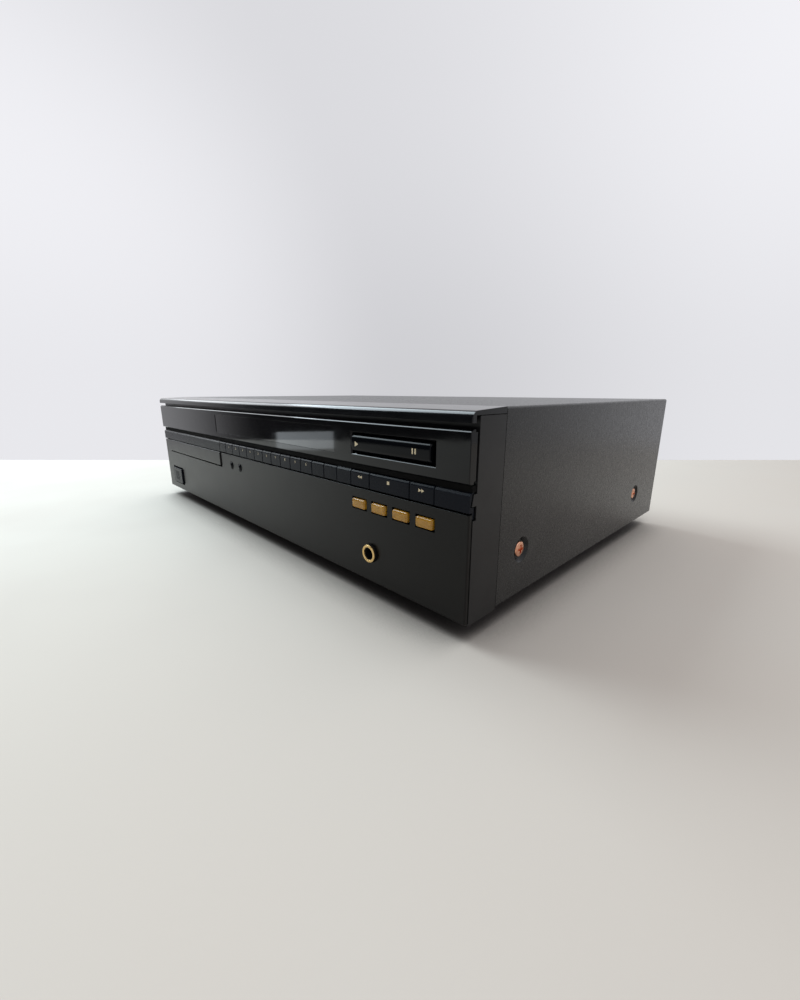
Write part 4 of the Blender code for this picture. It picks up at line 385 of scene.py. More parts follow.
def combine(piece, operation, tools, merge=True):
    for tool in tools:
        modifier = piece.modifiers.new(tool.name, "BOOLEAN")
        modifier.object = tool
        modifier.operation = operation
        modifier.solver = "EXACT"
    bpy.context.view_layer.update()
    settle(piece)
    clean(piece, merge)


def cut(piece, *tools, merge=True):
    combine(piece, "DIFFERENCE", tools, merge)


def round_edges(piece, width, segments=2):
    rounding = piece.modifiers.new("round", "BEVEL")
    rounding.width = width
    rounding.segments = segments
    rounding.limit_method = "ANGLE"
    rounding.angle_limit = EDGE_ANGLE
    bpy.context.view_layer.update()
    settle(piece)


def round_some(shape, test, width, segments):
    """Round the edges of a bmesh whose two ends pass a test."""
    chosen = [edge for edge in shape.edges if all(test(vert.co) for vert in edge.verts)]
    bevel(shape, chosen, width, segments)


def soft_slab(name, low, high, end_round, level_round, segments):
    """A box with its front upright edges and its level edges rounded by their own radii."""
    shape = bmesh.new()
    add_box(shape, low, high)
    uprights = [edge for edge in shape.edges
                if all(abs(vert.co.y - low.y) < WELD for vert in edge.verts)
                and abs(edge.verts[0].co.x - edge.verts[1].co.x) < WELD]
    bevel(shape, uprights, end_round, END_STEPS)
    back = high.y - WELD
    for level in (low.z, high.z):
        round_some(shape, lambda co, z=level: abs(co.z - z) < WELD and co.y < back,
                   level_round, segments)
    return ordered_piece(name, shape)


def soft_cap(name, low, high, edge, segments):
    """A key cap with its front edges and its edges from front to back rounded."""
    shape = bmesh.new()
    add_box(shape, low, high)
    front = [e for e in shape.edges if all(abs(v.co.y - low.y) < WELD for v in e.verts)]
    sides = [e for e in shape.edges if abs(e.verts[0].co.y - e.verts[1].co.y) > WELD]
    bevel(shape, front + sides, edge, segments)
    return new_piece(name, shape)


def perforated(name, low, high, openings, end_round, low_round, high_round, segments,
               chamfered=(), chamfer=0):
    """A slab with openings through it, given as (x range, z range), and rounded front edges.

    The front edges of the openings listed in chamfered are cut off at 45 degrees."""
    def stops(index, first, last):
        inner = {round(value, 6) for opening in openings for value in opening[index]
                 if first < value < last}
        return [first, *sorted(inner), last]

    def is_open(x, z):
        return any(across[0] < x < across[1] and tall[0] < z < tall[1]
                   for across, tall in openings)

    def around(co, opening):
        across, tall = opening
        return (abs(co.y - low.y) < WELD and across[0] - WELD < co.x < across[1] + WELD
                and tall[0] - WELD < co.z < tall[1] + WELD)

    columns, rows = stops(0, low.x, high.x), stops(1, low.z, high.z)
    shape = bmesh.new()
    corners, cells = {}, []
    for x, next_x in zip(columns, columns[1:]):
        for z, next_z in zip(rows, rows[1:]):
            if is_open((x + next_x) / 2, (z + next_z) / 2):
                continue
            places = ((x, z), (next_x, z), (next_x, next_z), (x, next_z))
            for place in places:
                if place not in corners:
                    corners[place] = shape.verts.new((place[0], low.y, place[1]))
            cells.append(shape.faces.new([corners[place] for place in places]))
    extrude(shape, cells, (0, high.y - low.y, 0))
    for opening in chamfered:
        round_some(shape, lambda co, o=opening: around(co, o), chamfer, 1)
    for end in (low.x, high.x):
        round_some(shape, lambda co, x=end: abs(co.x - x) < WELD and abs(co.y - low.y) < WELD,
                   end_round, min(segments, END_STEPS))
    for level, width in ((low.z, low_round), (high.z, high_round)):
        round_some(shape, lambda co, z=level: abs(co.z - z) < WELD and co.y < high.y - WELD,
                   width, segments)
    return ordered_piece(name, shape)


def refined(node, width, segments=2, name=None):
    """A copy of a CAD node's mesh with its edges rounded."""
    piece = new_object(name or node + "_fine", frame["nodes"][node].data.copy())
    clean(piece)
    if width:
        round_edges(piece, width, segments)
    return piece


def rear_of(node, name, depth):
    """A copy of a CAD node without what lies before a world y."""
    low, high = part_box(node)
    piece = refined(node, 0, name=name)
    cut(piece, boxes(name + "_cut", [
        ((low.x - OVERRUN, high.x + OVERRUN), (low.y - OVERRUN, depth),
         (low.z - OVERRUN, high.z + OVERRUN))]))
    return piece


# Materials

# Sockets of the Mix node that carry colours
MIX_FIRST, MIX_SECOND, MIX_RESULT = 6, 7, 2


class Finish:
    """A procedural material: colour clouds, uneven gloss and bumps; scales are per metre."""

    def __init__(self, name, colour, metallic=0.0):
        self.material = bpy.data.materials.new(name)
        self.material.use_nodes = True
        self.tree = self.material.node_tree
        self.shader = self.tree.nodes["Principled BSDF"]
        self.shader.inputs["Metallic"].default_value = metallic
        self.place = self.node("ShaderNodeTexCoord").outputs["Object"]
        self.colour = colour
        self.height = None

    def node(self, kind, **settings):
        made = self.tree.nodes.new(kind)
        for key, value in settings.items():
            setattr(made, key, value)
        return made

    def link(self, source, target):
        self.tree.links.new(source, target)

    def noise(self, scale, detail):
        cloud = self.node("ShaderNodeTexNoise")
        cloud.inputs["Scale"].default_value = scale
        cloud.inputs["Detail"].default_value = detail
        self.link(self.place, cloud.inputs["Vector"])
        return cloud.outputs["Fac"]

    def spread(self, value, low, high, start, end):
        ranged = self.node("ShaderNodeMapRange")
        for key, number in (("From Min", start), ("From Max", end), ("To Min", low),
                            ("To Max", high)):
            ranged.inputs[key].default_value = number
        self.link(value, ranged.inputs["Value"])
        return ranged.outputs["Result"]

    def put_colour(self, socket):
        if isinstance(self.colour, tuple):
            socket.default_value = (*self.colour, 1)
        else:
            self.link(self.colour, socket)

    def tint(self, value, other, start=0.35, end=0.65):
        """Mix the colour with another one where a value is high."""
        mix = self.node("ShaderNodeMix", data_type="RGBA")
        self.link(self.spread(value, 0.0, 1.0, start, end), mix.inputs["Factor"])
        self.put_colour(mix.inputs[MIX_FIRST])
        mix.inputs[MIX_SECOND].default_value = (*other, 1)
        self.colour = mix.outputs[MIX_RESULT]

    def gloss(self, value, low, high):
        """Roughness from low to high with a value."""
        self.link(self.spread(value, low, high, start=0.3, end=0.7),
                  self.shader.inputs["Roughness"])

    def bump(self, value, distance, strength):
        bump = self.node("ShaderNodeBump")
        bump.inputs["Distance"].default_value = distance
        bump.inputs["Strength"].default_value = strength
        self.link(value, bump.inputs["Height"])
        if self.height is not None:
            self.link(self.height, bump.inputs["Normal"])
        self.height = bump.outputs["Normal"]

    def done(self, **sockets):
        self.put_colour(self.shader.inputs["Base Color"])
        self.link(self.height, self.shader.inputs["Normal"])
        for key, value in sockets.items():
            self.shader.inputs[key.replace("_", " ")].default_value = value
        return self.material


def plain(name, colour, other, roughness, metallic=0.0, cloud=60, grain=2200,
          grain_height=0.02 * MM, strength=0.4, rough_spread=0.06, **sockets):
    """A moulded or plated finish: soft colour clouds, uneven gloss and a fine grain."""
    made = Finish(name, colour, metallic)
    made.tint(made.noise(cloud, detail=3.0), other)
    made.gloss(made.noise(cloud * 4, detail=4.0), roughness - rough_spread,
               roughness + rough_spread)
    made.bump(made.noise(grain, detail=2.0), grain_height, strength)
    return made.done(**sockets)


def crinkle_paint():
    """Black crinkle paint: millimetre grain, a satin sheen and a few pale specks of dust."""
    made = Finish("textured_paint", (0.0065, 0.0065, 0.0068))
    made.tint(made.noise(45, detail=3.0), (0.011, 0.011, 0.0112))
    made.tint(made.noise(700, detail=1.0), (0.030, 0.030, 0.031), start=0.62, end=0.80)
    made.tint(made.noise(260, detail=1.0), (0.20, 0.20, 0.20), start=0.80, end=0.84)
    made.gloss(made.noise(650, detail=3.0), 0.22, 0.36)
    made.bump(made.noise(620, detail=3.0), distance=0.09 * MM, strength=0.5)
    made.bump(made.noise(2400, detail=2.0), distance=0.03 * MM, strength=0.4)
    return made.done(Specular_IOR_Level=0.40)


# Colour, colour of the clouds, roughness, and what differs from the defaults of plain
PLAIN_FINISHES = {
    "frame_plastic": ((0.006, 0.006, 0.0065), (0.009, 0.009, 0.0095), 0.36, dict(
        grain=1500, rough_spread=0.03, Specular_IOR_Level=0.32)),
    "gloss_plastic": ((0.0025, 0.0027, 0.0032), (0.0035, 0.0036, 0.0042), 0.07, dict(
        cloud=25, grain=350, grain_height=0.01 * MM, strength=0.15, rough_spread=0.02,
        Specular_IOR_Level=0.26)),
    "trim_plastic": ((0.0035, 0.0037, 0.0045), (0.0055, 0.006, 0.007), 0.13, dict(
        cloud=30, grain=1800, grain_height=0.01 * MM, strength=0.3, rough_spread=0.02,
        Specular_IOR_Level=0.38)),
    "panel_plastic": ((0.0038, 0.0036, 0.0034), (0.0050, 0.0048, 0.0044), 0.29, dict(
        cloud=18, grain=2600, grain_height=0.012 * MM, strength=0.3, rough_spread=0.015,
        Specular_IOR_Level=0.20)),
    "key_plastic": ((0.0042, 0.0055, 0.009), (0.0056, 0.007, 0.011), 0.27, dict(
        cloud=50, grain=2600, grain_height=0.01 * MM, strength=0.10, rough_spread=0.006,
        Specular_IOR_Level=0.08)),
    "bar_plastic": ((0.002, 0.0025, 0.0035), (0.003, 0.0035, 0.0045), 0.09, dict(
        cloud=50, grain=2600, grain_height=0.01 * MM, strength=0.2, rough_spread=0.02,
        Specular_IOR_Level=0.10)),
    # Painted shade: the rail in the recess above the keys is coloured near black for the shade that
    # falls there
    "painted_shade_black": ((0.0015, 0.0015, 0.0015), (0.0025, 0.0025, 0.0025), 0.7, dict(
        grain=1800, Specular_IOR_Level=0.08)),
    "smoked_window": ((0.003, 0.003, 0.0035), (0.004, 0.004, 0.005), 0.05, dict(
        cloud=20, grain=120, grain_height=0.004 * MM, strength=0.08, rough_spread=0.015,
        Specular_IOR_Level=0.45)),
    "gold_metal": ((0.83, 0.60, 0.28), (0.72, 0.48, 0.19), 0.24, dict(
        metallic=1.0, cloud=300, grain=3000, grain_height=0.01 * MM, strength=0.3)),
    "copper_metal": ((0.86, 0.46, 0.31), (0.74, 0.36, 0.22), 0.24, dict(
        metallic=1.0, cloud=500, grain=3500, grain_height=0.015 * MM)),
    "zinc_steel": ((0.55, 0.55, 0.54), (0.45, 0.46, 0.46), 0.38, dict(
        metallic=1.0, cloud=35, grain=900, strength=0.3, rough_spread=0.10)),
    "core_steel": ((0.20, 0.19, 0.18), (0.15, 0.145, 0.14), 0.50, dict(
        metallic=0.8, cloud=80, grain=1500, grain_height=0.04 * MM)),
    "board_laminate": ((0.25, 0.17, 0.07), (0.20, 0.13, 0.05), 0.55, dict(
        cloud=120, grain=1800)),
    "loader_plastic": ((0.030, 0.030, 0.031), (0.040, 0.040, 0.041), 0.46, dict(
        cloud=40, grain=1600, grain_height=0.03 * MM)),
    "gear_plastic": ((0.75, 0.74, 0.70), (0.68, 0.66, 0.61), 0.42, dict(
        cloud=80, grain=1500)),
    "deck_metal": ((0.45, 0.46, 0.47), (0.38, 0.39, 0.40), 0.42, dict(
        metallic=0.9, cloud=45, grain=1100, grain_height=0.04 * MM, rough_spread=0.08)),
    "foot_rubber": ((0.018, 0.018, 0.018), (0.026, 0.025, 0.024), 0.75, dict(
        cloud=120, grain=1400, grain_height=0.06 * MM)),
    "belt_rubber": ((0.013, 0.013, 0.013), (0.02, 0.02, 0.02), 0.65, dict(
        cloud=300, grain=3000, grain_height=0.03 * MM)),
    "tube_glass": ((0.10, 0.13, 0.14), (0.07, 0.10, 0.11), 0.10, dict(
        cloud=40, grain=300, grain_height=0.004 * MM, strength=0.1, rough_spread=0.03)),
    "cream_ink": ((0.72, 0.62, 0.42), (0.62, 0.52, 0.33), 0.45, dict(
        cloud=900, grain=5000, grain_height=0.005 * MM)),
    "red_plastic": ((0.45, 0.02, 0.02), (0.36, 0.015, 0.015), 0.30, dict(
        cloud=300, grain=2500, grain_height=0.01 * MM)),
    "white_plastic": ((0.75, 0.74, 0.71), (0.68, 0.67, 0.63), 0.32, dict(
        cloud=300, grain=2500, grain_height=0.01 * MM)),
    "amber_plastic": ((0.34, 0.168, 0.012), (0.41, 0.210, 0.018), 0.20, dict(
        cloud=220, grain=1800, grain_height=0.008 * MM, strength=0.2, rough_spread=0.03,
        Subsurface_Weight=0.3, Subsurface_Radius=(1.0, 0.7, 0.15), Subsurface_Scale=1.5 * MM,
        Specular_IOR_Level=0.5)),
}
FINISHES = {"textured_paint": crinkle_paint(), **{
    name: plain(name, colour, other, roughness, **more)
    for name, (colour, other, roughness, more) in PLAIN_FINISHES.items()}}


def dress(piece, finish, node, stands_for=True):
    """Give a piece its material and shading, and let it ride with a CAD node's body."""
    piece.data.materials.clear()
    piece.data.materials.append(FINISHES[finish])
    piece.data.shade_smooth()
    piece.data.set_sharp_from_angle(angle=SMOOTH_ANGLE)
    weighted = piece.modifiers.new("weighted", "WEIGHTED_NORMAL")
    weighted.keep_sharp = True
    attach(piece, BODY_OF[node])
    if stands_for:
        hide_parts(node)


# Pieces of the front

def make_lower_panel():
    low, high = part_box("lower_panel")
    tray_low, tray_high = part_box("tray_front")
    openings = [((tray_low.x - TRAY_GAP, tray_high.x + TRAY_GAP),
                 (tray_low.z - TRAY_GAP, high.z + OVERRUN))]
    for node, gap in [("power_button", POWER_GAP)] + [(node, AMBER_GAP) for node in AMBER_KEYS]:
        key_low, key_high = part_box(node)
        openings.append(((key_low.x - gap, key_high.x + gap), (key_low.z - gap, key_high.z + gap)))
    high.z -= KEY_SEAM
    panel = perforated("lower_panel_face", low, high, openings, PANEL_EDGE, PANEL_EDGE,
                       PANEL_TOP_EDGE, PANEL_STEPS)
    tools = []
    for node, reach in (("round_button_1", ROUND_RADIUS + ROUND_GAP),
                        ("round_button_2", ROUND_RADIUS + ROUND_GAP),
                        ("headphone_jack", JACK_RADIUS + SEAT)):
        place = middle(node)
        tools.append(drum(node + "_hole", "Y", (place.x, place.z), reach, low.y - OVERRUN,
                          high.y + OVERRUN, SMALL_SIDES))
    cut(panel, *tools, merge=False)
    round_edges(panel, FINE_EDGE)
    dress(panel, "panel_plastic", "lower_panel")


def make_fascia():
    """The gloss face with its two openings, the returns at its ends, and the window."""
    low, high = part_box("upper_fascia")
    face_back = low.y + FASCIA_BACK
    pane_low, pane_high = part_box("display_window")
    window = ((pane_low.x - SEAM, pane_high.x + SEAM), (pane_low.z - SEAM, pane_high.z + SEAM))
    bar_low, bar_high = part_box("play_pause_bar")
    play = ((bar_low.x - PLAY_GAP, bar_high.x + PLAY_RIGHT_GAP),
            (bar_low.z - PLAY_GAP, bar_high.z + PLAY_GAP))
    fascia = perforated("upper_fascia_face", low, Vector((high.x, face_back, high.z)),
                        [window, play], FASCIA_END, FASCIA_LOW_ROUND, FASCIA_ROUND, 1,
                        [play], PLAY_CHAMFER)
    round_edges(fascia, SEAM)
    dress(fascia, "gloss_plastic", "upper_fascia")
    inner = high.x - FASCIA_RETURN_WALL
    depth, tall = (face_back - SINK, high.y), (low.z + FASCIA_ROUND, high.z - FASCIA_ROUND)
    returns = boxes("upper_fascia_returns", [
        ((inner, high.x - SINK), depth, tall), ((SINK - high.x, -inner), depth, tall)])
    round_edges(returns, FINE_EDGE)
    dress(returns, "gloss_plastic", "upper_fascia")
    pane = soft_slab("display_window_pane", pane_low, pane_high, SEAM, SEAM, 2)
    dress(pane, "smoked_window", "display_window")


def make_play_pause_bar():
    low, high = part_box("play_pause_bar")
    face_back = low.y + PLAY_THICK
    bar = soft_slab("play_pause_bar_face", low, Vector((high.x, face_back, high.z)),
                    PLAY_LOW_ROUND, PLAY_ROUND, PLAY_STEPS)
    back = rear_of("play_pause_bar", "play_pause_bar_back", face_back - SINK)
    dress(bar, "bar_plastic", "play_pause_bar")
    dress(back, "key_plastic", "play_pause_bar")


def make_trim():
    """A strip with a round front edge, a lip hanging down at the front and cut corners."""
    low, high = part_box("top_trim")
    front_high = high.z - TRIM_FRONT_DROP
    lip_back = low.y + TRIM_LIP_THICK
    skirt = high.z - TRIM_SKIRT
    outline = [(low.y, low.z)]
    outline += arc((low.y + TRIM_ROUND, front_high - TRIM_ROUND), TRIM_ROUND, math.pi,
                   math.pi / 2, TRIM_POINTS)
    outline += [(high.y, high.z), (high.y, skirt), (lip_back, skirt), (lip_back, low.z)]
    trim = prism("top_trim_strip", outline, "X", (low.x, high.x))
    tools = []
    for side in (1, -1):
        edge = side * high.x
        corner = [(edge + side * OVERRUN, low.y - OVERRUN),
                  (edge - side * (TRIM_CORNER + OVERRUN), low.y - OVERRUN),
                  (edge + side * OVERRUN, low.y + TRIM_CORNER + OVERRUN)]
        tools.append(prism(f"trim_corner_{side + 1}", corner, "Z",
                           (low.z - OVERRUN, high.z + OVERRUN)))
    cut(trim, *tools)
    round_edges(trim, FINE_EDGE, segments=3)
    dress(trim, "trim_plastic", "top_trim")


# Marks

def mark_place(node):
    """Where the mark on a key has its middle, across and up."""
    return middle(node).x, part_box(node)[1].z - MARK_DROP


def make_digit(number, node):
    """A printed digit on a key's face, as a thin plate."""
    across, tall = mark_place(node)
    font = bpy.data.curves.new(f"digit_{number}", "FONT")
    font.body = str(number)
    font.size = DIGIT_SIZE
    font.align_x, font.align_y = "CENTER", "CENTER"
    font.extrude = MARK_THICK / 2
    guide = new_object(f"digit_{number}_text", font)
    place = Matrix.Translation((across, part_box(node)[0].y, tall))
    guide.matrix_world = place @ Matrix.Rotation(math.pi / 2, 4, "X")
    bpy.context.view_layer.update()
    seen = guide.evaluated_get(bpy.context.evaluated_depsgraph_get())
    mesh = bpy.data.meshes.new_from_object(seen)
    mesh.transform(guide.matrix_world)
    bpy.data.objects.remove(guide, do_unlink=True)
    dress(new_object(f"digit_{number}", mesh), "cream_ink", node, stands_for=False)


def make_symbol(name, outlines, node):
    """A printed symbol of flat shapes on a node's front face."""
    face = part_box(node)[0].y
    shape = bmesh.new()
    for outline in outlines:
        flat = shape.faces.new([shape.verts.new((a, face - MARK_THICK, b)) for a, b in outline])
        extrude(shape, [flat], (0, 2 * MARK_THICK, 0))
    dress(ordered_piece(name, shape), "cream_ink", node, stands_for=False)


def triangle(across, tall, size):
    """A triangle's outline; a negative size points left."""
    base, half = across - size / 2, abs(size) / 2
    return [(base, tall - half), (across + size / 2, tall), (base, tall + half)]


def block(left, right, low, high):
    """A rectangle's outline."""
    return [(left, low), (right, low), (right, high), (left, high)]


def make_play_marks():
    make_symbol("play_mark", [triangle(PLAY_MARK_X, up(PLAY_MARK_HEIGHT), PLAY_MARK_SIZE)],
                "play_pause_bar")
    make_symbol("pause_mark", [block(left, left + PAUSE_WIDTH, up(PAUSE_LOW), up(PAUSE_HIGH))
                               for left in PAUSE_BARS], "play_pause_bar")


# Keys, buttons and jack

def make_keys():
    for node in NUMBER_KEYS + OTHER_KEYS:
        dress(refined(node, KEY_EDGE, segments=3), "key_plastic", node)
    for number, node in enumerate(NUMBER_KEYS):
        make_digit(number, node)
    for node, way in (("search_back_key", -1), ("search_forward_key", 1)):
        across, tall = mark_place(node)
        make_symbol(node + "_mark", [triangle(across + way * shift, tall, way * TRIANGLE)
                                     for shift in (-TRIANGLE_SHIFT, TRIANGLE_SHIFT)], node)
    across, tall = mark_place("stop_key")
    half = TRIANGLE / 2
    make_symbol("stop_key_mark", [block(across - half, across + half, tall - half, tall + half)],
                "stop_key")


def make_key_strip():
    """The blanks of the key row, and above them the rail, coloured near black as painted shade in
    its recess.
    """
    low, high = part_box("key_strip")
    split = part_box("stop_key")[1].z + SINK
    around = ((low.x - OVERRUN, high.x + OVERRUN), (low.y - OVERRUN, high.y + OVERRUN))
    for name, waste, width, segments, finish in (
            ("key_strip_blanks", (split, high.z + OVERRUN), KEY_EDGE, 3, "key_plastic"),
            ("key_strip_rail", (low.z - OVERRUN, split), FINE_EDGE, 2, "painted_shade_black")):
        piece = refined("key_strip", 0, name=name)
        cut(piece, boxes(name + "_cut", [(*around, waste)]))
        round_edges(piece, width, segments)
        dress(piece, finish, "key_strip")


def make_amber_keys():
    half = AMBER_STEM_HALF
    for node in AMBER_KEYS:
        low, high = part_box(node)
        cap_back = low.y + AMBER_THICK
        cap = soft_cap(node + "_cap", low, Vector((high.x, cap_back, high.z)), AMBER_ROUND, 5)
        dress(cap, "amber_plastic", node)
        place = middle(node)
        stem = boxes(node + "_stem", [
            ((place.x - half, place.x + half), (cap_back - SINK, high.y),
             (place.z - half, place.z + half))])
        round_edges(stem, FINE_EDGE, segments=3)
        dress(stem, "amber_plastic", node)


def make_round_buttons():
    for node in ("round_button_1", "round_button_2"):
        low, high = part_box(node)
        place = middle(node)
        profile = [(ROUND_RADIUS * part, low.y + ROUND_DOME * drop)
                   for part, drop in ROUND_DOME_SHAPE]
        rim, flank = low.y + ROUND_DOME + ROUND_EDGE, ROUND_RADIUS - ROUND_EDGE
        profile += [(flank + ROUND_EDGE * math.sin(a), rim - ROUND_EDGE * math.cos(a))
                    for a in QUARTER]
        back = deep(ROUND_BACK)
        profile += [(ROUND_RADIUS, back), (ROUND_STEM, back), (ROUND_STEM, high.y), (0, high.y)]
        button = lathe(node + "_cap", "Y", (place.x, place.z), profile, SMALL_SIDES)
        dress(button, "bar_plastic", node)


def make_power_button():
    """A cap with upright grooves in its face, on the CAD node's own back."""
    node = "power_button"
    low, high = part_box(node)
    cap_back = deep(POWER_BACK)
    cap = soft_cap(node + "_cap", low, Vector((high.x, cap_back, high.z)), POWER_ROUND, 4)
    first = middle(node).x - (GROOVE_COUNT - 1) * GROOVE_PITCH / 2
    grooves = []
    for i in range(GROOVE_COUNT):
        across = first + i * GROOVE_PITCH
        grooves.append(((across - GROOVE_WIDTH / 2, across + GROOVE_WIDTH / 2),
                        (low.y - OVERRUN, low.y + GROOVE_DEPTH),
                        (low.z + GROOVE_INSET, high.z - GROOVE_INSET)))
    cut(cap, boxes("power_grooves", grooves))
    dress(cap, "key_plastic", node)
    dress(rear_of(node, "power_button_back", cap_back - SINK), "key_plastic", node)


def make_jack():
    """A flat gold ring on the front of a black sleeve, round a dark bore."""
    node = "headphone_jack"
    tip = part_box(node)[0].y
    place = middle(node)
    centre = (place.x, place.z)
    lip = [(JACK_LIP * (1 - math.sin(a)), tip + JACK_LIP * (1 - math.cos(a))) for a in QUARTER]
    ring_back = tip + JACK_RING_DEPTH
    ring = [(JACK_RING_BORE + inset, depth) for inset, depth in reversed(lip)]
    ring += [(JACK_RADIUS - inset, depth) for inset, depth in lip]
    ring += [(JACK_RADIUS, ring_back), (JACK_RING_BORE, ring_back)]
    dress(lathe("jack_ring", "Y", centre, ring), "gold_metal", node)
    start, back = ring_back - SINK, deep(JACK_BODY_START)
    sleeve = [(JACK_BORE, start), (JACK_SLEEVE_RADIUS, start), (JACK_SLEEVE_RADIUS, back),
              (JACK_BORE, back)]
    dress(lathe("jack_sleeve", "Y", centre, sleeve), "frame_plastic", node)
    dress(rear_of(node, "jack_body", back), "frame_plastic", node)


# Cover, screws and feet

def make_cover():
    """A bent sheet, with a pressed dimple and a hole for each screw."""
    low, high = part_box("top_cover")
    right_bend = (high.x - COVER_BEND, high.z - COVER_BEND)
    left_bend = (COVER_BEND - high.x, high.z - COVER_BEND)
    inside = COVER_BEND - SHEET
    outline = [(high.x, low.z)]
    outline += arc(right_bend, COVER_BEND, 0, math.pi / 2, BEND_POINTS)
    outline += arc(left_bend, COVER_BEND, math.pi / 2, math.pi, BEND_POINTS)
    outline += [(-high.x, low.z), (SHEET - high.x, low.z)]
    outline += arc(left_bend, inside, math.pi, math.pi / 2, BEND_POINTS)
    outline += arc(right_bend, inside, math.pi / 2, 0, BEND_POINTS)
    outline += [(high.x - SHEET, low.z)]
    cover = prism("top_cover_sheet", outline, "Y", (low.y, high.y))
    cups, hollows = [], []
    flare = (DIMPLE_RADIUS - DIMPLE_FLOOR_RADIUS) / DIMPLE_DEPTH * OVERRUN
    for number in (1, 2, 3, 4):
        screw = middle(f"side_screw_{number}")
        side = 1 if screw.x > 0 else -1
        face = side * high.x
        outside, in_sheet = face + side * OVERRUN, face - side * SHEET / 2
        floor = face - side * DIMPLE_DEPTH
        back = floor - side * SHEET
        centre = (screw.y, screw.z)
        cups.append(lathe(f"cup_{number}", "X", centre, [
            (0, in_sheet), (DIMPLE_RADIUS + SHEET, in_sheet),
            (DIMPLE_FLOOR_RADIUS + SHEET, back), (0, back)]))
        hollows.append(lathe(f"hollow_{number}", "X", centre, [
            (0, outside), (DIMPLE_RADIUS + flare, outside), (DIMPLE_FLOOR_RADIUS, floor),
            (0, floor)]))
        hollows.append(drum(f"hole_{number}", "X", centre, SCREW_HOLE_RADIUS, outside,
                            back - side * OVERRUN, SMALL_SIDES))
    combine(cover, "UNION", cups)
    cut(cover, *hollows)
    round_edges(cover, FINE_EDGE)
    dress(cover, "textured_paint", "top_cover")


def make_screws():
    half, length = CROSS_WIDTH / 2, CROSS_LENGTH / 2
    for number in (1, 2, 3, 4):
        node = f"side_screw_{number}"
        low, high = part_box(node)
        place = middle(node)
        face, inward = (high.x, -1) if place.x > 0 else (low.x, 1)
        screw = lathe(node + "_fine", "X", (place.y, place.z), [
            (radius * MM, face + inward * depth * MM) for radius, depth in SCREW_PROFILE],
            SMALL_SIDES)
        reach = (face - inward * OVERRUN, face + inward * CROSS_DEPTH)
        cut(screw, *[
            boxes(f"cross_{number}", [(reach, (place.y - wide, place.y + wide),
                                       (place.z - tall, place.z + tall))])
            for wide, tall in ((half, length), (length, half))])
        round_edges(screw, CROSS_EDGE)
        dress(screw, "copper_metal", node)


def make_feet():
    for number in (1, 2, 3, 4):
        node = f"foot_{number}"
        low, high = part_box(node)
        place = middle(node)
        round_centre = (FOOT_RADIUS - FOOT_TOP_ROUND, high.z - FOOT_TOP_ROUND)
        profile = [(0, high.z), (FOOT_RADIUS - FOOT_TOP_ROUND, high.z)]
        profile += arc(round_centre, FOOT_TOP_ROUND, math.pi / 2, 0, FOOT_TOP_POINTS)[1:]
        profile += [(radius * MM, high.z - depth * MM) for radius, depth in FOOT_SIDE]
        profile += [(radius * MM, low.z + height * MM) for radius, height in FOOT_BASE]
        foot = lathe(node + "_turned", "Z", (place.x, place.y), profile)
        dress(foot, "foot_rubber", node)


# Tray and the rest

def make_tray():
    """The tray with its two disc wells and its slot, the rack below it, and its front."""
    node = "disc_tray"
    low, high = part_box(node)
    front_low, front_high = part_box("tray_front")
    left = front_low.x - TRAY_GAP + TRAY_LEFT_ROOM
    right = front_high.x + TRAY_GAP - TRAY_RIGHT_ROOM
    centre = ((left + right) / 2, deep(WELL_CENTRE_DEPTH))
    top = low.z + TRAY_THICK
    above = top + OVERRUN
    tray = boxes("disc_tray_body", [((left, right), (low.y, high.y), (low.z, top))])
    slot = arc(centre, SLOT_RADIUS, math.pi, math.tau, SLOT_POINTS)
    slot += [(centre[0] + SLOT_RADIUS, high.y + OVERRUN),
             (centre[0] - SLOT_RADIUS, high.y + OVERRUN)]
    cut(tray, drum("well", "Z", centre, WELL_RADIUS, above, top - WELL_DEPTH),
        drum("small_well", "Z", centre, SMALL_WELL_RADIUS, above, top - SMALL_WELL_DEPTH))
    cut(tray, prism("slot", slot, "Z", (low.z - OVERRUN, above)))
    round_edges(tray, SOFT_EDGE, segments=3)
    dress(tray, "loader_plastic", node)
    rack = refined(node, 0, name="disc_tray_rack")
    cut(rack, boxes("rack_cut", [
        ((low.x - OVERRUN, right), (low.y - OVERRUN, high.y + OVERRUN), (low.z - OVERRUN, above))]))
    dress(rack, "loader_plastic", node)
    face = soft_slab("tray_front_face", front_low, front_high, PANEL_EDGE, PANEL_EDGE,
                     PANEL_STEPS)
    round_edges(face, FINE_EDGE)
    dress(face, "panel_plastic", "tray_front")


def make_rear():
    node = "audio_sockets"
    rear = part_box("rear_panel")[1].y
    dress(refined(node, FINE_EDGE), "gold_metal", node)
    place = middle(node)
    bore, top = SOCKET_RADIUS + SEAM, rear + SOCKET_RING_HIGH
    ring = [(bore, rear), (SOCKET_RING_RADIUS, rear),
            (SOCKET_RING_RADIUS, top - SOCKET_RING_CHAMFER),
            (SOCKET_RING_RADIUS - SOCKET_RING_CHAMFER, top), (bore, top)]
    for number, shift, finish in ((1, -SOCKET_OFFSET, "white_plastic"),
                                  (2, SOCKET_OFFSET, "red_plastic")):
        piece = lathe(f"socket_ring_{number}", "Y", (place.x + shift, place.z), ring, SMALL_SIDES)
        dress(piece, finish, node, stands_for=False)
    dress(refined("mains_inlet", FINE_EDGE), "frame_plastic", "mains_inlet")
    dress(refined("rear_panel", FINE_EDGE), "textured_paint", "rear_panel")


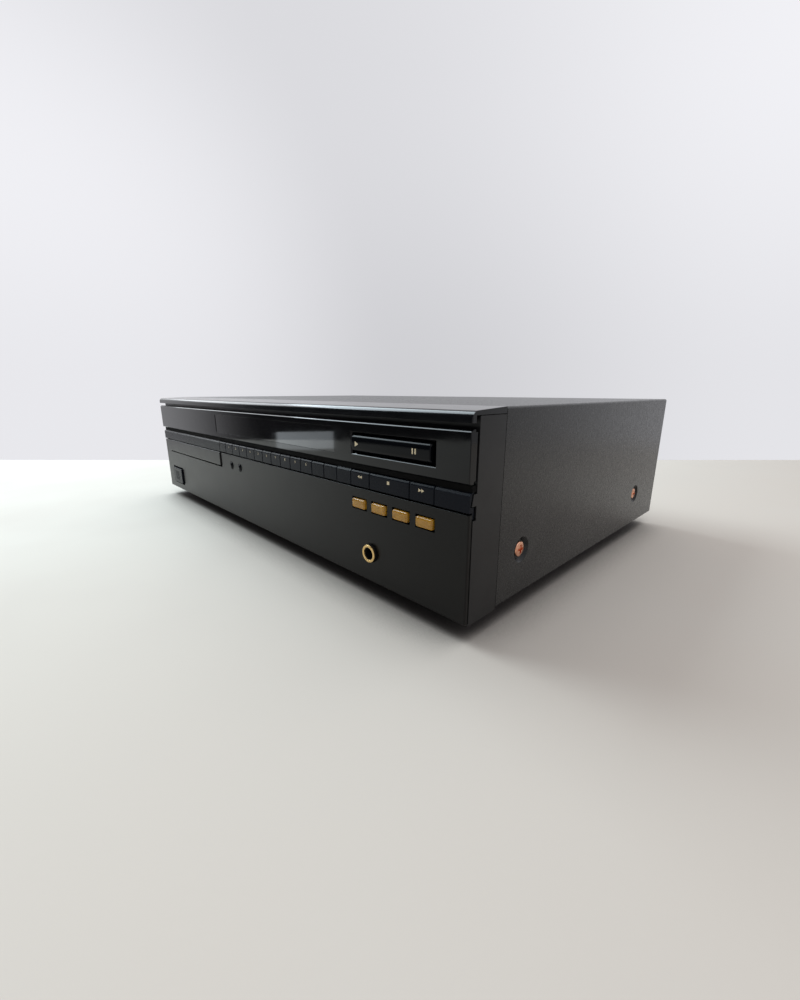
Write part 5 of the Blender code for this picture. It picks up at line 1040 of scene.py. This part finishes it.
def make_rest():
    """The pieces whose CAD shape is right, with their edges rounded."""
    for node, width, finish in (
            ("front_frame", SOFT_EDGE, "frame_plastic"),
            ("chassis_base", FINE_EDGE, "zinc_steel"),
            ("loader_frame", FINE_EDGE, "loader_plastic"),
            ("drive_gear", 0, "gear_plastic"),
            ("loading_motor", FINE_EDGE, "zinc_steel"),
            ("motor_pulley", 0, "gear_plastic"),
            ("drive_belt", FINE_EDGE, "belt_rubber"),
            ("mechanism_deck", FINE_EDGE, "deck_metal"),
            ("turntable", FINE_EDGE, "gear_plastic"),
            ("swing_arm", FINE_EDGE, "deck_metal"),
            ("clamp_bridge", FINE_EDGE, "zinc_steel"),
            ("clamp_puck", FINE_EDGE, "loader_plastic"),
            ("display_tube", SOFT_EDGE, "tube_glass"),
            ("key_board", FINE_EDGE, "board_laminate"),
            ("main_board", FINE_EDGE, "board_laminate"),
            ("power_transformer", SOFT_EDGE, "core_steel")):
        dress(refined(node, width), finish, node)


# Floor, light and camera

def make_floor():
    """A pale floor that ends where the photograph's floor meets its wall, painted paler to the left
    as painted light.
    """
    heading = math.radians(CAMERA_HEADING)
    ahead = Vector((-math.sin(heading), math.cos(heading), 0))
    aside = Vector((ahead.y, -ahead.x, 0))
    start = Vector((*CAMERA_PLACE[:2], 0))
    shape = bmesh.new()
    shape.faces.new([shape.verts.new(start + ahead * far + aside * wide) for far, wide in (
        (-FLOOR_NEAR, -FLOOR_WIDE), (-FLOOR_NEAR, FLOOR_WIDE), (FLOOR_FAR, FLOOR_WIDE),
        (FLOOR_FAR, -FLOOR_WIDE))])
    floor = new_piece("floor", shape)
    made = Finish("floor", FLOOR_COLOUR)
    axes = made.node("ShaderNodeSeparateXYZ")
    made.link(made.place, axes.inputs[0])
    # Painted light: the floor's colour darkens along x towards the right, a painted falloff of the
    # light
    made.tint(axes.outputs["X"], FLOOR_PAINTED_FALLOFF_COLOUR, *FLOOR_PAINTED_FALLOFF)
    made.tint(made.noise(6, detail=3.0), FLOOR_CLOUD_COLOUR, start=0.4, end=1.2)
    # Painted shadow: ambient occlusion darkens the floor's colour near the player
    shade = made.node("ShaderNodeAmbientOcclusion", samples=8)
    shade.inputs["Distance"].default_value = FLOOR_PAINTED_SHADOW_REACH
    made.tint(shade.outputs["AO"], FLOOR_PAINTED_SHADOW, *FLOOR_PAINTED_SHADOW_LIMITS)
    made.bump(made.noise(260, detail=2.0), distance=0.3 * MM, strength=0.15)
    floor.data.materials.append(made.done(Roughness=0.9))


def make_world():
    """A pale room, brightest overhead; the player meets darkness ahead of its left half."""
    world = bpy.data.worlds.new("studio")
    bpy.context.scene.world = world
    world.use_nodes = True
    tree = world.node_tree
    tree.nodes.clear()
    output = tree.nodes.new("ShaderNodeOutputWorld")
    light = tree.nodes.new("ShaderNodeBackground")
    place = tree.nodes.new("ShaderNodeTexCoord")
    axes = tree.nodes.new("ShaderNodeSeparateXYZ")
    tree.links.new(place.outputs["Generated"], axes.inputs[0])

    def ramp(axis, start, end, low, high):
        ranged = tree.nodes.new("ShaderNodeMapRange")
        ranged.interpolation_type = "SMOOTHSTEP"
        for key, number in (("From Min", start), ("From Max", end), ("To Min", low),
                            ("To Max", high)):
            ranged.inputs[key].default_value = number
        tree.links.new(axes.outputs[axis], ranged.inputs["Value"])
        return ranged.outputs["Result"]

    def joined(operation, first, second):
        result = tree.nodes.new("ShaderNodeMath")
        result.operation = operation
        tree.links.new(first, result.inputs[0])
        tree.links.new(second, result.inputs[1])
        return result.outputs[0]

    level = tree.nodes.new("ShaderNodeLightPath").outputs["Is Camera Ray"]
    for limits in ROOM_OPEN:
        level = joined("MAXIMUM", level, ramp(*limits))
    for limits in ROOM_LEVELS:
        level = joined("MULTIPLY", level, ramp(*limits))
    tree.links.new(level, light.inputs["Strength"])
    light.inputs["Color"].default_value = (*ROOM_COLOUR, 1)
    tree.links.new(light.outputs[0], output.inputs["Surface"])


def make_lamp(name, place, aim, size, power, colour):
    light = bpy.data.lights.new(name, "AREA")
    light.shape = "RECTANGLE"
    light.size, light.size_y = size
    light.energy = power
    light.color = colour
    lamp = new_object(name, light)
    lamp.location = place
    lamp.rotation_euler = (Vector(aim) - Vector(place)).to_track_quat("-Z", "Y").to_euler()
    lamp.visible_camera = False


def make_camera():
    data = bpy.data.cameras.new("view")
    data.lens = CAMERA_LENS
    data.sensor_width = CAMERA_SENSOR
    data.clip_start = CAMERA_CLIP
    camera = new_object("view", data)
    camera.location = CAMERA_PLACE
    camera.rotation_euler = (math.radians(90 - CAMERA_DIP), 0, math.radians(CAMERA_HEADING))
    bpy.context.scene.camera = camera


make_lower_panel()
make_fascia()
make_play_pause_bar()
make_trim()
make_keys()
make_key_strip()
make_play_marks()
make_amber_keys()
make_round_buttons()
make_power_button()
make_jack()
make_cover()
make_screws()
make_feet()
make_tray()
make_rear()
make_rest()
make_floor()
make_world()
for lamp_name, lamp_settings in LAMPS.items():
    make_lamp(lamp_name, *lamp_settings)
make_camera()
bpy.context.scene.view_settings.view_transform = "Standard"
